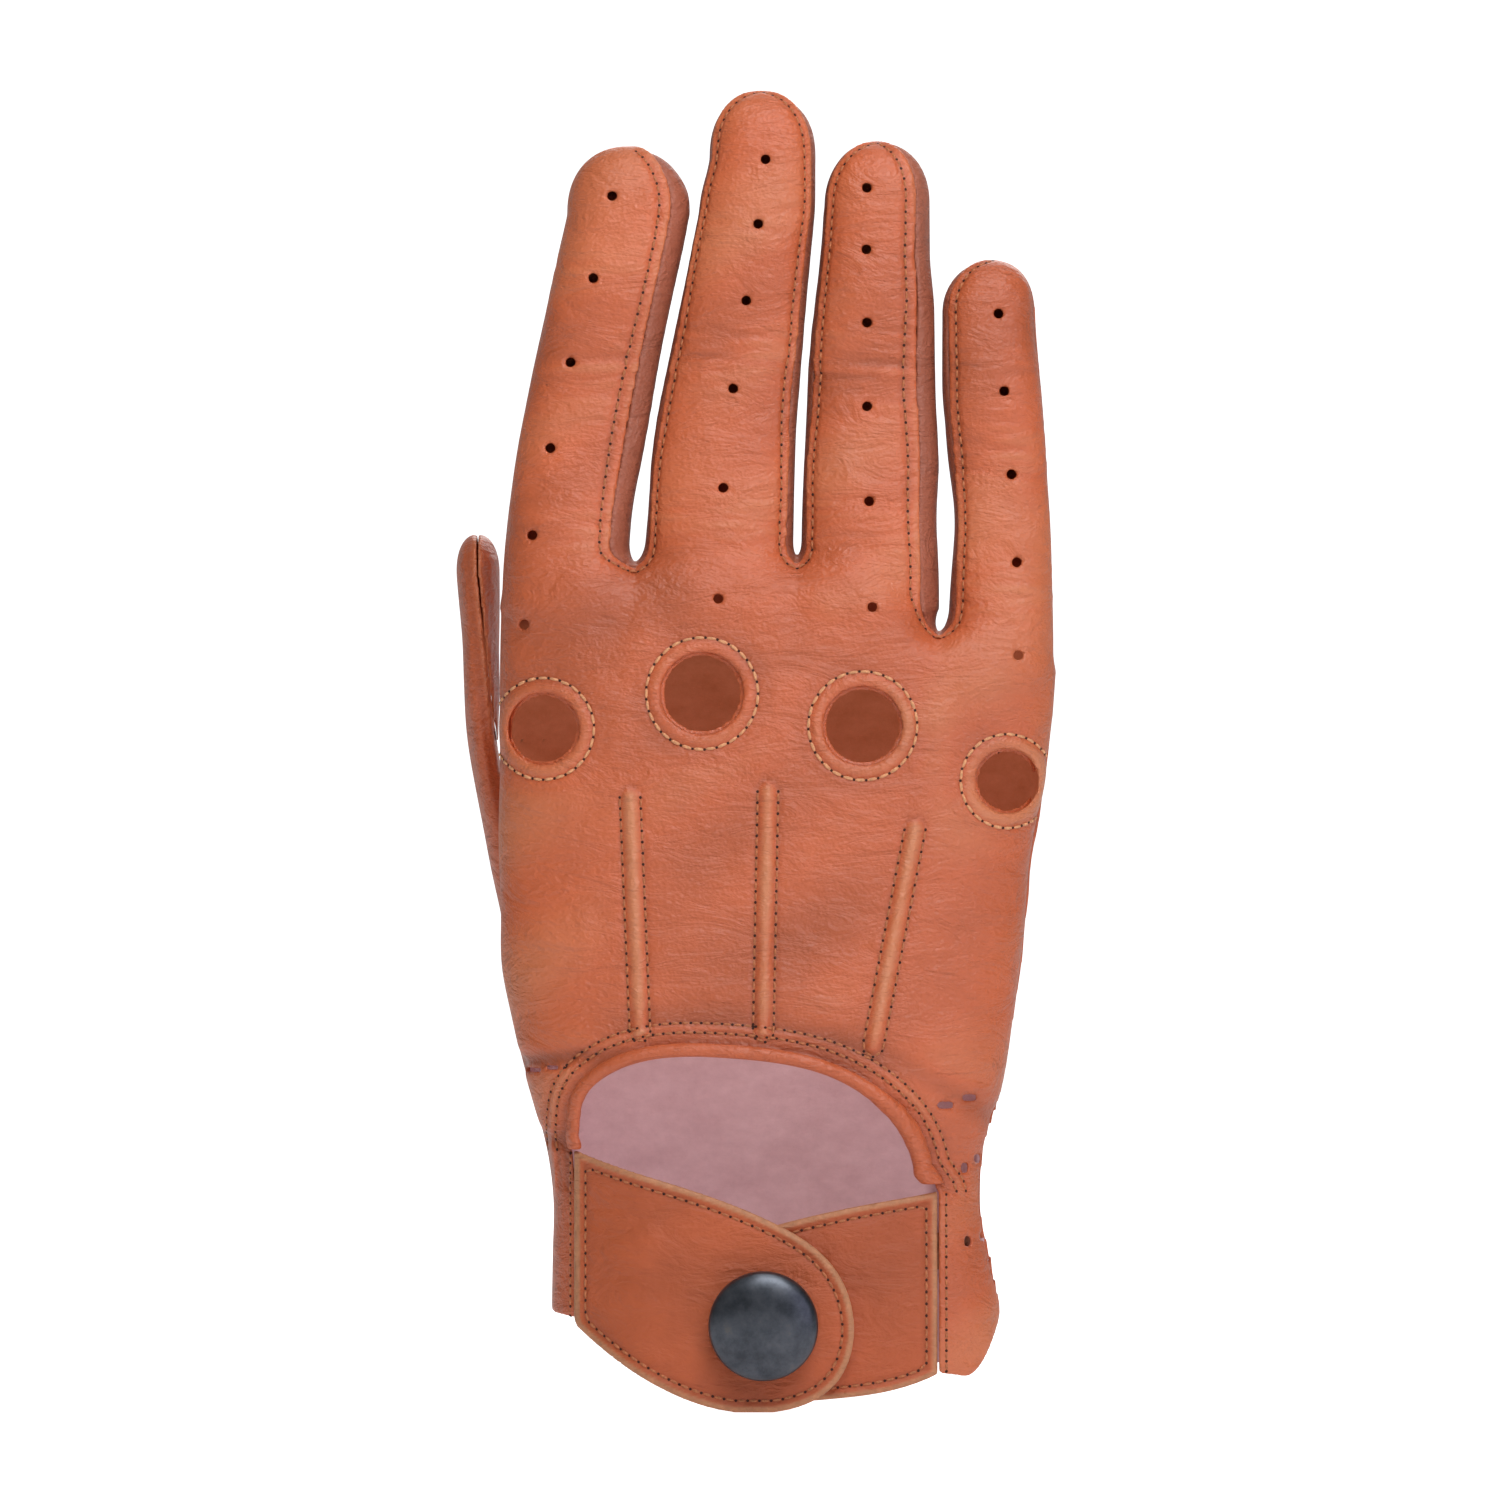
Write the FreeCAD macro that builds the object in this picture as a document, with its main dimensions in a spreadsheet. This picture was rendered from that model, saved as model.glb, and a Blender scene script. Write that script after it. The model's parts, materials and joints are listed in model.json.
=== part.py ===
import FreeCAD, Part
import Sketcher
import math
import os
from FreeCAD import Placement, Rotation, Vector

# One right-hand unlined leather driving glove, standing with its fingers up.
# Units are millimetres. +Z runs from the cuff to the fingertips, the back of the hand faces -Y,
# the palm faces +Y and the little finger is on the +X side.
# The origin is the middle of the cuff, level with the lowest edge of the strap.

doc = FreeCAD.newDocument("driving_glove")

# ---------------------------------------------------------------- driving dimensions

DIMENSIONS = [
    # leather and gaps
    ("leather", 1.1),
    ("clearance", 0.1),
    ("layer_gap", 0.2),
    ("side_strip_half", 5.5),
    ("palm_flat", 16.5),
    # heights of the folds, measured from the lowest edge
    ("knuckle_fold", 118.0),
    ("knuckle_axis_depth", 6.0),
    ("finger_axis_depth", 4.5),
    ("back_split", 131.5),
    ("back_split_slope", 0.096),
    ("first_crotch", 142.5),
    ("last_crotch", 131.2),
    # flexing angles of the real folds, in degrees
    ("knuckle_flex", 60.0),
    ("finger_flex", 80.0),
    ("fingertip_ratio", 0.5),
    ("thumb_swing", 50.0),
    ("thumbtip_flex", 50.0),
    # knuckle holes
    ("knuckle_hole_radius", 6.6),
    ("facing_radius", 9.6),
    ("facing_leather", 0.8),
    # wrist opening and its rolled binding
    ("binding_radius", 1.6),
    ("binding_step", 1.9),
    # straps and snap
    ("strap_leather", 0.9),
    ("strap_lift", 1.7),
    ("under_leather", 1.6),
    ("under_seam", 27.6),
    ("strap_seam", -34.4),
    ("snap_across", -2.2),
    ("snap_height", 15.0),
    ("cap_radius", 9.3),
    ("cap_height", 3.2),
    ("cap_edge", 1.8),
    ("cap_round", 0.6),
    ("shank", 0.95),
    ("post_radius", 1.7),
    ("socket_radius", 5.2),
    ("socket_bore", 3.1),
    ("socket_neck", 3.9),
    ("socket_rim", 1.2),
    ("socket_height", 1.95),
    ("stud_radius", 2.5),
    ("stud_neck", 1.8),
    ("stud_flange", 5.0),
    ("flange_thickness", 0.7),
    # raised points on the back
    ("point_width", 2.2),
    ("point_rise", 0.9),
    # elastic that gathers the wrist on the palm side
    ("elastic_height", 7.0),
    ("elastic_middle", 26.0),
    ("elastic_thickness", 0.8),
    # thumb
    ("thumb_fold", 101.0),
    ("thumb_axis_side", -50.3),
    ("thumbtip_fold", 124.0),
    ("thumbtip_axis_depth", 20.0),
]

sheet = doc.addObject("Spreadsheet::Sheet", "Dimensions")
for row, (alias, value) in enumerate(DIMENSIONS, start=1):
    sheet.set(f"A{row}", alias)
    sheet.set(f"B{row}", str(value))
    sheet.setAlias(f"B{row}", alias)
doc.recompute()


def dim(alias):
    """The value of one driving dimension, read back from the sheet."""
    return float(sheet.get(alias))


LEATHER = dim("leather")
GAP = dim("clearance")
SIDE = dim("side_strip_half")
FAR = 150.0

# Outside of the hand: height, left edge, right edge, back of the hand, palm.
HAND_LEVELS = [
    (0.0, -38.4, 38.5, -19.0, 19.0),
    (16.0, -38.4, 38.4, -19.3, 19.3),
    (39.0, -38.0, 34.6, -19.5, 19.6),
    (52.5, -41.4, 38.0, -18.6, 19.4),
    (62.0, -44.2, 39.8, -17.6, 19.2),
    (78.0, -47.0, 41.9, -16.4, 18.6),
    (95.0, -47.2, 43.4, -15.2, 16.8),
    (112.0, -47.2, 46.4, -14.4, 15.0),
    (131.0, -47.2, 47.7, -12.4, 12.6),
    (145.0, -46.8, 47.4, -9.6, 9.8),
]

# Outside of each finger: height, left edge, right edge, half depth. The last row is where the
# round end starts; "top" is the height of the fingertip.
FINGERS = {
    "index": {
        "levels": [
            (124.0, -46.6, -20.5, 11.5),
            (143.0, -46.7, -24.4, 9.6),
            (175.0, -42.1, -21.6, 9.1),
            (204.0, -35.6, -14.6, 8.4),
        ],
        "top": 215.5,
    },
    "middle": {
        "levels": [
            (124.0, -25.0, 5.0, 11.5),
            (143.0, -23.4, 3.1, 9.6),
            (177.0, -17.9, 4.2, 9.3),
            (212.0, -12.0, 7.3, 8.6),
        ],
        "top": 225.0,
    },
    "ring": {
        "levels": [
            (124.0, 0.5, 30.0, 11.5),
            (143.0, 4.2, 27.0, 9.6),
            (174.0, 5.2, 26.6, 9.1),
            (204.0, 8.2, 26.9, 8.4),
        ],
        "top": 216.5,
    },
    "little": {
        "levels": [
            (120.0, 25.0, 46.6, 11.5),
            (132.0, 28.6, 47.4, 9.6),
            (160.0, 30.2, 46.4, 8.6),
            (184.0, 28.4, 44.7, 7.8),
        ],
        "top": 196.2,
    },
}

# Share of the way from crotch to fingertip where the middle and the end folds sit.
MIDDLE_FOLD_SHARE = 0.42
TIP_FOLD_SHARE = 0.72

# Outside of the thumb: height, left edge, right edge, front, back.
THUMB_LEVELS = [
    (62.0, -42.0, -31.0, 6.0, 17.0),
    (80.0, -46.8, -37.0, 8.0, 23.0),
    (95.0, -49.8, -42.0, 8.0, 26.0),
    (101.0, -51.0, -44.0, 8.0, 27.0),
    (109.0, -52.7, -47.6, 7.5, 27.0),
    (125.0, -54.0, -47.6, 6.5, 27.0),
    (143.0, -55.2, -47.8, 7.5, 26.0),
]
THUMB_TOP = 149.5

# Each knuckle hole: centre across, centre up, and the sizes of the hole and of the facing
# under it against their driving radii.
KNUCKLE_HOLES = {
    "index": (-39.6, 115.9, 0.92, 0.84),
    "middle": (-12.6, 121.9, 1.05, 1.03),
    "ring": (14.7, 116.4, 1.01, 1.02),
    "little": (39.3, 107.0, 0.82, 0.76),
}

# The three raised points: lower end and upper end, across and up.
POINTS = {
    "left": ((-23.1, 64.5), (-24.8, 104.3)),
    "middle": ((-2.2, 64.5), (-1.4, 105.5)),
    "right": ((16.4, 62.0), (23.6, 99.0)),
}

# Edge of the wrist opening inside its binding, from the left strap round to the right seam.
OPENING = [
    (-33.0, 44.8),
    (-33.3, 51.0),
    (-28.0, 56.6),
    (-8.0, 59.1),
    (8.2, 56.3),
    (18.6, 49.6),
    (22.9, 38.5),
]

written = []


# ---------------------------------------------------------------- shape helpers


def section(left, right, front, back, height, fullness=3.0, count=28):
    """A closed rounded-rectangle curve at one height."""
    middle = (left + right) / 2
    half = (right - left) / 2
    centre = (front + back) / 2
    depth = (back - front) / 2
    points = []
    for step in range(count):
        angle = 2 * math.pi * step / count
        across = math.copysign(abs(math.cos(angle)) ** (2 / fullness), math.cos(angle))
        along = math.copysign(abs(math.sin(angle)) ** (2 / fullness), math.sin(angle))
        points.append(Vector(middle + half * across, centre + depth * along, height))
    curve = Part.BSplineCurve()
    curve.interpolate(Points=points, PeriodicFlag=True)
    return Part.Wire([curve.toShape()])


def loft(levels, fullness=3.0):
    """A solid through horizontal sections, straight from each section to the next."""
    wires = [section(left, right, front, back, height, fullness)
             for height, left, right, front, back in levels]
    return Part.makeLoft(wires, True, True)


def grown(levels, offset):
    """The same levels with every side moved outwards by offset."""
    return [(height, left - offset, right + offset, front - offset, back + offset)
            for height, left, right, front, back in levels]


def dome(level, top, steps=(25, 45, 62, 76, 86)):
    """Levels that close a stall into a round end above its last full level."""
    height, left, right, front, back = level
    middle = (left + right) / 2
    centre = (front + back) / 2
    rows = []
    for angle in steps:
        share = math.cos(math.radians(angle)) ** 0.9
        rows.append((
            height + (top - height) * math.sin(math.radians(angle)),
            middle + (left - middle) * share,
            middle + (right - middle) * share,
            centre + (front - centre) * share,
            centre + (back - centre) * share,
        ))
    return rows


def slab(x_low, x_high, y_low, y_high, z_low, z_high):
    return Part.makeBox(x_high - x_low, y_high - y_low, z_high - z_low, Vector(x_low, y_low, z_low))


def side_prism(outline):
    """A block with an outline in depth and height (Y, Z), long across the glove."""
    points = [Vector(-FAR, depth, height) for depth, height in outline]
    face = Part.Face(Part.makePolygon(points + [points[0]]))
    return face.extrude(Vector(2 * FAR, 0, 0))


def front_prism(outline, y_low=-FAR, y_high=FAR):
    """A block with a straight-sided outline across and up (X, Z), long in depth."""
    points = [Vector(across, y_low, height) for across, height in outline]
    face = Part.Face(Part.makePolygon(points + [points[0]]))
    return face.extrude(Vector(0, y_high - y_low, 0))


def curved_outline(points, y_low, y_high):
    """A block bounded by a smooth curve through the points and a straight line between its ends."""
    places = [Vector(across, y_low, height) for across, height in points]
    curve = Part.BSplineCurve()
    curve.interpolate(Points=places)
    closing = Part.makeLine(places[-1], places[0])
    face = Part.Face(Part.Wire([curve.toShape(), closing]))
    return face.extrude(Vector(0, y_high - y_low, 0))


def one_solid(shape):
    """The largest solid of a boolean result."""
    solids = sorted(shape.Solids, key=lambda solid: solid.Volume)
    return solids[-1]


def add(label, shape):
    """Add a sub-part whose shape is worked out from the sheet by Part functions."""
    feature = doc.addObject("Part::Feature", label)
    feature.Label = label
    feature.Shape = shape
    feature.Placement = Placement(Vector(0, 0, 0), Rotation())
    written.append(feature)
    return feature


# ---------------------------------------------------------------- hand, fingers and thumb as solids


def crotch_block(offset):
    """Everything below the crotches between the fingers."""
    high = dim("first_crotch") + offset
    low = dim("last_crotch") + offset
    return front_prism([(-FAR, -50), (-FAR, high), (12, high), (27.7, low), (FAR, low), (FAR, -50)])


def hand_solid(offset, high=len(HAND_LEVELS)):
    """The outside of the hand moved outwards by offset, flat on the palm side."""
    levels = grown(HAND_LEVELS[:high], offset)
    solid = loft(levels)
    return solid.common(slab(-FAR, FAR, -FAR, dim("palm_flat") + offset, -FAR, FAR))


def finger_levels(name, offset):
    finger = FINGERS[name]
    levels = [(height, left - offset, right + offset, -depth - offset, depth + offset)
              for height, left, right, depth in finger["levels"]]
    return levels + dome(levels[-1], finger["top"] + offset)


def crotch_of(name):
    return dim("last_crotch") if name == "little" else dim("first_crotch")


def fold_heights(name):
    """Heights of the middle fold and the end fold of one finger."""
    crotch = crotch_of(name)
    length = FINGERS[name]["top"] - crotch
    return crotch + MIDDLE_FOLD_SHARE * length, crotch + TIP_FOLD_SHARE * length


def between_folds(lower, lower_flex, upper, upper_flex, axis, reach):
    """The room one rigid part may fill between two folds that bend towards +Y."""
    def rise(flex):
        return (reach - axis) * math.tan(math.radians(flex / 2 + 1.0))
    return side_prism([
        (-FAR, lower + GAP),
        (axis, lower + GAP),
        (reach, lower + GAP + rise(lower_flex)),
        (reach, upper - GAP - rise(upper_flex)),
        (axis, upper - GAP),
        (-FAR, upper - GAP),
    ])


hand_outer = hand_solid(0).common(crotch_block(0))
hand_inner = hand_solid(-LEATHER).common(crotch_block(-LEATHER))
finger_outer = {name: loft(finger_levels(name, 0)) for name in FINGERS}
finger_inner = {name: loft(finger_levels(name, -LEATHER)) for name in FINGERS}

thumb_levels_outer = THUMB_LEVELS + dome(THUMB_LEVELS[-1], THUMB_TOP)
thumb_levels_inner = grown(THUMB_LEVELS, -LEATHER)
thumb_levels_inner += dome(thumb_levels_inner[-1], THUMB_TOP - LEATHER)
thumb_outer = loft(thumb_levels_outer, 2.4)
thumb_inner = loft(thumb_levels_inner, 2.4)

# ---------------------------------------------------------------- back of the hand at the wrist


def widened_opening(step):
    """The opening's edge moved outwards by step along its own normals."""
    rows = []
    for index, (across, height) in enumerate(OPENING):
        before = OPENING[max(index - 1, 0)]
        after = OPENING[min(index + 1, len(OPENING) - 1)]
        run = after[0] - before[0]
        rise = after[1] - before[1]
        length = math.hypot(run, rise)
        rows.append((across - step * rise / length, height + step * run / length))
    return rows


def back_depth(across, height, offset):
    """Depth (Y) of the back of the hand at a place, moved outwards by offset."""
    for lower, upper in zip(HAND_LEVELS, HAND_LEVELS[1:]):
        if lower[0] <= height <= upper[0]:
            break
    share = (height - lower[0]) / (upper[0] - lower[0])
    left, right, front, back = [low + share * (high - low) for low, high in zip(lower[1:], upper[1:])]
    half = (right - left) / 2 + offset
    depth = (back - front) / 2 + offset
    place = min(abs(across - (left + right) / 2) / half, 0.999)
    return (front + back) / 2 - depth * (1 - place ** 3) ** (1 / 3)


def hand_layer(outer, inner, levels=None):
    """A sheet that follows the hand between two offsets from its outside."""
    rows = levels or HAND_LEVELS
    return loft(grown(rows, outer)).cut(loft(grown(rows, inner)))


# ---------------------------------------------------------------- hand panels

panel_edge = widened_opening(2 * dim("binding_step") - 0.2)
slot_left = dim("strap_seam") + 0.5
slot_right = dim("under_seam") + 0.1
opening_cut = curved_outline(panel_edge, -FAR, FAR).common(slab(-FAR, FAR, -FAR, 0, -FAR, FAR))
slot_cut = front_prism([(slot_left, -50), (slot_left, 45.5), (slot_right, 38.0), (slot_right, -50)], -FAR, 0)

FOLD = dim("knuckle_fold")
BACK_SPLIT = dim("back_split")
SPLIT_SLOPE = dim("back_split_slope")
KNUCKLE_AXIS = dim("knuckle_axis_depth")
SHOULDER = SIDE + 3.0


def across_split(shift):
    """A line across the back of the hand, just past the knuckle holes, at both far ends."""
    return [(-FAR, BACK_SPLIT + SPLIT_SLOPE * FAR + shift), (FAR, BACK_SPLIT - SPLIT_SLOPE * FAR + shift)]


def knuckle_wedge(sign):
    """Room on one side of the knuckle fold, opened on the palm side so that the fold can close."""
    reach = 22.0
    rise = (reach - KNUCKLE_AXIS) * math.tan(math.radians(dim("knuckle_flex") / 2 + 1.0))
    return side_prism([
        (-FAR, FOLD + sign * GAP),
        (KNUCKLE_AXIS, FOLD + sign * GAP),
        (reach, FOLD + sign * (GAP + rise)),
        (reach, FOLD + sign * FAR),
        (-FAR, FOLD + sign * FAR),
    ])


low_line = across_split(-GAP)
high_line = across_split(GAP)
below_split = front_prism([(-FAR, -50)] + low_line + [(FAR, -50)])
above_split = front_prism([(-FAR, 300)] + high_line + [(FAR, 300)])
lower_wedge = knuckle_wedge(-1)
upper_wedge = knuckle_wedge(1)
hem_line = [(-FAR, 10.8 + 0.15 * FAR), (FAR, 10.8 - 0.15 * FAR)]
hem_cut = front_prism([(-FAR, -50)] + hem_line + [(FAR, -50)])

hand_shell = hand_outer.cut(hand_inner).cut(hem_cut).cut(thumb_inner)
back_half = hand_shell.common(slab(-FAR, FAR, -FAR, 0, -FAR, FAR)).common(below_split)
past_fold = slab(-FAR, FAR, -SHOULDER, FAR, FOLD - GAP, 2 * FAR)
back_half = back_half.cut(past_fold)
back_half = back_half.cut(opening_cut).cut(slot_cut)
hole_cutters = [
    Part.makeCylinder(dim("knuckle_hole_radius") * scale, FAR, Vector(across, -FAR, height), Vector(0, 1, 0))
    for across, height, scale, _ in KNUCKLE_HOLES.values()
]
for cutter in hole_cutters:
    back_half = back_half.cut(cutter)
add("hand_back", one_solid(back_half))

palm_half = hand_shell.common(slab(-FAR, FAR, 0, FAR, -FAR, FAR)).common(lower_wedge)
add("hand_palm", one_solid(palm_half))

# ---------------------------------------------------------------- knuckle part with the finger roots

SPANS = {
    "index": (-FAR, -19.8),
    "middle": (-19.8, 4.7),
    "ring": (4.7, 28.3),
    "little": (28.3, FAR),
}
LEFT_WALL = -38.0
RIGHT_WALL = 40.0

root_room = None
for name, (low, high) in SPANS.items():
    middle_fold, _ = fold_heights(name)
    room = between_folds(0, 0, middle_fold, dim("finger_flex"), dim("finger_axis_depth"), 12.0)
    room = room.common(slab(low, high, -FAR, FAR, 60, FAR * 2))
    root_room = room if root_room is None else root_room.fuse(room)

roots_outer = hand_outer
roots_inner = hand_inner
for name in FINGERS:
    roots_outer = roots_outer.fuse(finger_outer[name])
    roots_inner = roots_inner.fuse(finger_inner[name])
roots_shell = roots_outer.cut(roots_inner).common(upper_wedge).common(root_room)

back_zone = slab(-FAR, FAR, -FAR, -SIDE, 60, 300).common(above_split)
add("knuckle_back", one_solid(roots_shell.common(back_zone)))

outer_walls = slab(-FAR, LEFT_WALL, -SIDE, SIDE, 60, 300).fuse(slab(RIGHT_WALL, FAR, -SIDE, SIDE, 60, 300))
shoulders = slab(-FAR, FAR, -SHOULDER + GAP, -SIDE, 60, 300).common(below_split)
palm_zone = slab(-FAR, FAR, SIDE, FAR, 60, 300).fuse(outer_walls).fuse(shoulders)
palm_roots = roots_shell.common(palm_zone)
for cutter in hole_cutters:
    palm_roots = palm_roots.cut(cutter)
add("knuckle_palm", one_solid(palm_roots))

WEBS = {
    "index_middle": ("index", "middle"),
    "middle_ring": ("middle", "ring"),
    "ring_little": ("ring", "little"),
}
for label, (left_finger, right_finger) in WEBS.items():
    left_levels = FINGERS[left_finger]["levels"][1]
    right_levels = FINGERS[right_finger]["levels"][1]
    low = (left_levels[1] + left_levels[2]) / 2
    high = (right_levels[1] + right_levels[2]) / 2
    web = roots_shell.common(slab(low, high, -SIDE, SIDE, 60, 300))
    add(f"fourchette_root_{label}", one_solid(web))

# ---------------------------------------------------------------- finger parts above the roots


def finger_panels(name, stage, room, strip_top):
    """Back, palm and side strips of one rigid length of a finger stall."""
    shell = finger_outer[name].cut(finger_inner[name]).common(room)
    lower = FINGERS[name]["levels"][1]
    middle = (lower[1] + lower[2]) / 2 if stage == "middle" else (FINGERS[name]["levels"][-1][1]
                                                                 + FINGERS[name]["levels"][-1][2]) / 2
    strips = slab(-FAR, FAR, -SIDE, SIDE, 0, strip_top)
    left = slab(-FAR, middle, -SIDE, SIDE, 0, strip_top)
    right = slab(middle, FAR, -SIDE, SIDE, 0, strip_top)
    back = slab(-FAR, FAR, -FAR, 0, 0, 300).cut(strips)
    palm = slab(-FAR, FAR, 0, FAR, 0, 300).cut(strips)
    if name == "index":
        palm = palm.fuse(left)
    if name == "little":
        palm = palm.fuse(right)
    add(f"{name}_{stage}_back", one_solid(shell.common(back)))
    add(f"{name}_{stage}_palm", one_solid(shell.common(palm)))
    if name != "index":
        add(f"{name}_{stage}_fourchette_left", one_solid(shell.common(left)))
    if name != "little":
        add(f"{name}_{stage}_fourchette_right", one_solid(shell.common(right)))


for name in FINGERS:
    middle_fold, tip_fold = fold_heights(name)
    axis = dim("finger_axis_depth")
    flex = dim("finger_flex")
    tip_flex = flex * dim("fingertip_ratio")
    middle_room = between_folds(middle_fold, flex, tip_fold, tip_flex, axis, 11.0)
    tip_room = between_folds(tip_fold, tip_flex, 400, 0, axis, 11.0)
    strip_top = FINGERS[name]["levels"][-1][0] + 0.3 * (FINGERS[name]["top"] - FINGERS[name]["levels"][-1][0])
    finger_panels(name, "middle", middle_room, 300)
    finger_panels(name, "tip", tip_room, strip_top)

# ---------------------------------------------------------------- thumb

thumb_shell = thumb_outer.cut(thumb_inner)
THUMB_FOLD = dim("thumb_fold")
THUMB_AXIS = dim("thumb_axis_side")


def thumb_wedge(sign):
    """Room on one side of the thumb's base fold, opened on its outer edge for the swing."""
    reach = 6.0
    rise = reach * math.tan(math.radians(dim("thumb_swing") / 2 + 1.0))
    return front_prism([
        (THUMB_AXIS - reach, THUMB_FOLD + sign * (GAP + rise)),
        (THUMB_AXIS, THUMB_FOLD + sign * GAP),
        (FAR, THUMB_FOLD + sign * GAP),
        (FAR, THUMB_FOLD + sign * FAR),
        (THUMB_AXIS - reach, THUMB_FOLD + sign * FAR),
    ])


def thumbtip_wedge(sign):
    """Room on one side of the thumb's end fold, opened on the palm side."""
    axis = dim("thumbtip_axis_depth")
    fold = dim("thumbtip_fold")
    reach = 30.0
    rise = (reach - axis) * math.tan(math.radians(dim("thumbtip_flex") / 2 + 1.0))
    return side_prism([
        (-FAR, fold + sign * GAP),
        (axis, fold + sign * GAP),
        (reach, fold + sign * (GAP + rise)),
        (reach, fold + sign * FAR),
        (-FAR, fold + sign * FAR),
    ])


add("thumb_root", one_solid(thumb_shell.common(thumb_wedge(-1)).cut(hand_outer)))
THUMB_SEAM = -50.6
outer_side = slab(-FAR, THUMB_SEAM, -FAR, FAR, 0, 300)
inner_side = slab(THUMB_SEAM, FAR, -FAR, FAR, 0, 300)
thumb_length = thumb_shell.common(thumb_wedge(1)).common(thumbtip_wedge(-1))
add("thumb_outer_leaf", one_solid(thumb_length.common(outer_side)))
add("thumb_inner_leaf", one_solid(thumb_length.common(inner_side)))
thumb_end = thumb_shell.common(thumbtip_wedge(1))
add("thumbtip_outer_leaf", one_solid(thumb_end.common(outer_side)))
add("thumbtip_inner_leaf", one_solid(thumb_end.common(inner_side)))

# ---------------------------------------------------------------- facings under the knuckle holes

facing_sheet = doc.addObject("Part::Feature", "FacingSheet")
facing_layer = hand_layer(-LEATHER - 0.05, -LEATHER - 0.05 - dim("facing_leather"))
facing_zone = slab(-FAR, FAR, -FAR, -3.0, 60, 200).cut(past_fold)
facing_sheet.Shape = facing_layer.common(facing_zone)
for name, (across, height, hole_scale, facing_scale) in KNUCKLE_HOLES.items():
    disc = doc.addObject("Part::Cylinder", f"FacingDisc_{name}")
    hole = doc.addObject("Part::Cylinder", f"FacingHole_{name}")
    for cylinder, size in [
        (disc, f"Dimensions.facing_radius * {facing_scale}"),
        (hole, f"Dimensions.knuckle_hole_radius * {hole_scale}"),
    ]:
        cylinder.setExpression("Radius", size)
        cylinder.Height = 60.0
        cylinder.Placement = Placement(Vector(across, 0, height), Rotation(Vector(1, 0, 0), 90))
    washer = doc.addObject("Part::Cut", f"FacingWasher_{name}")
    washer.Base = disc
    washer.Tool = hole
    facing = doc.addObject("Part::Common", f"knuckle_facing_{name}")
    facing.Base = facing_sheet
    facing.Tool = washer
    facing.Label = f"knuckle_facing_{name}"
    written.append(facing)

# ---------------------------------------------------------------- raised points on the back

points_sheet = hand_layer(0.05 + dim("point_rise"), 0.05).common(slab(-FAR, FAR, -FAR, 0, 40, 120))
for name, ((low_x, low_z), (high_x, high_z)) in POINTS.items():
    half = dim("point_width") / 2
    bar = front_prism([
        (low_x - half, low_z), (low_x + half, low_z), (high_x + half, high_z), (high_x - half, high_z),
    ], -FAR, 0)
    add(f"point_{name}", one_solid(points_sheet.common(bar)))

# ---------------------------------------------------------------- binding round the wrist opening

binding_places = []
for across, height in widened_opening(dim("binding_step")):
    binding_places.append(Vector(across, back_depth(across, height, -LEATHER / 2), height))
binding_curve = Part.BSplineCurve()
binding_curve.interpolate(Points=binding_places)
spine = doc.addObject("Part::Feature", "BindingSpine")
spine.Shape = Part.Wire([binding_curve.toShape()])
ring = doc.addObject("Part::Circle", "BindingSection")
ring.setExpression("Radius", "Dimensions.binding_radius")
start = binding_curve.value(binding_curve.FirstParameter)
heading = binding_curve.tangent(binding_curve.FirstParameter)[0]
ring.Placement = Placement(start, Rotation(Vector(0, 0, 1), heading))
roll = doc.addObject("Part::Sweep", "BindingRoll")
roll.Sections = [ring]
roll.Spine = (spine, ["Edge1"])
roll.Solid = True
roll.Frenet = True
trim = doc.addObject("Part::Feature", "BindingTrim")
trim.Shape = slab(-FAR, 0, -FAR, 0, 46.6, 90).fuse(slab(0, FAR, -FAR, 0, 40.6, 90))
binding = doc.addObject("Part::Common", "opening_binding")
binding.Base = roll
binding.Tool = trim
binding.Label = "opening_binding"
written.append(binding)

# ---------------------------------------------------------------- straps

WRIST_LEVELS = HAND_LEVELS[:4]
STRAP = dim("strap_leather")
LIFT = dim("strap_lift")
SNAP_X = dim("snap_across")
SNAP_Z = dim("snap_height")


def snap_hole(radius):
    return Part.makeCylinder(radius, FAR, Vector(SNAP_X, -FAR, SNAP_Z), Vector(0, 1, 0))


seam = dim("strap_seam")
STRAP_OUTLINE = [
    (seam, 44.4), (-17.0, 38.6), (-0.7, 32.4), (9.4, 25.2), (13.2, 14.6),
    (10.0, 4.9), (-2.7, 0.0), (-17.0, 3.0), (seam, 14.8),
]
UNDER_OUTLINE = [
    (27.5, 6.2), (20.0, 3.6), (8.0, 2.0), (-6.0, 2.6), (-14.0, 8.0),
    (-15.5, 18.0), (-10.0, 27.5), (0.0, 31.8), (14.0, 35.0), (27.5, 37.4),
]
strap_block = curved_outline(STRAP_OUTLINE, -FAR, 0)
under_block = curved_outline(UNDER_OUTLINE, -FAR, 0)
outer_sheet = hand_layer(LIFT + 2 * STRAP, LIFT + STRAP, WRIST_LEVELS)
backing_sheet = hand_layer(LIFT + STRAP, LIFT, WRIST_LEVELS)
under_sheet = hand_layer(0, -dim("under_leather"), WRIST_LEVELS)
add("strap_leather", one_solid(outer_sheet.common(strap_block).cut(snap_hole(dim("post_radius") + 0.1))))
add("strap_backing", one_solid(backing_sheet.common(strap_block).cut(snap_hole(dim("socket_neck") + 0.1))))
add("under_strap", one_solid(under_sheet.common(under_block).cut(snap_hole(dim("stud_neck") + 0.1))))

# ---------------------------------------------------------------- snap fastener, turned parts


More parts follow.
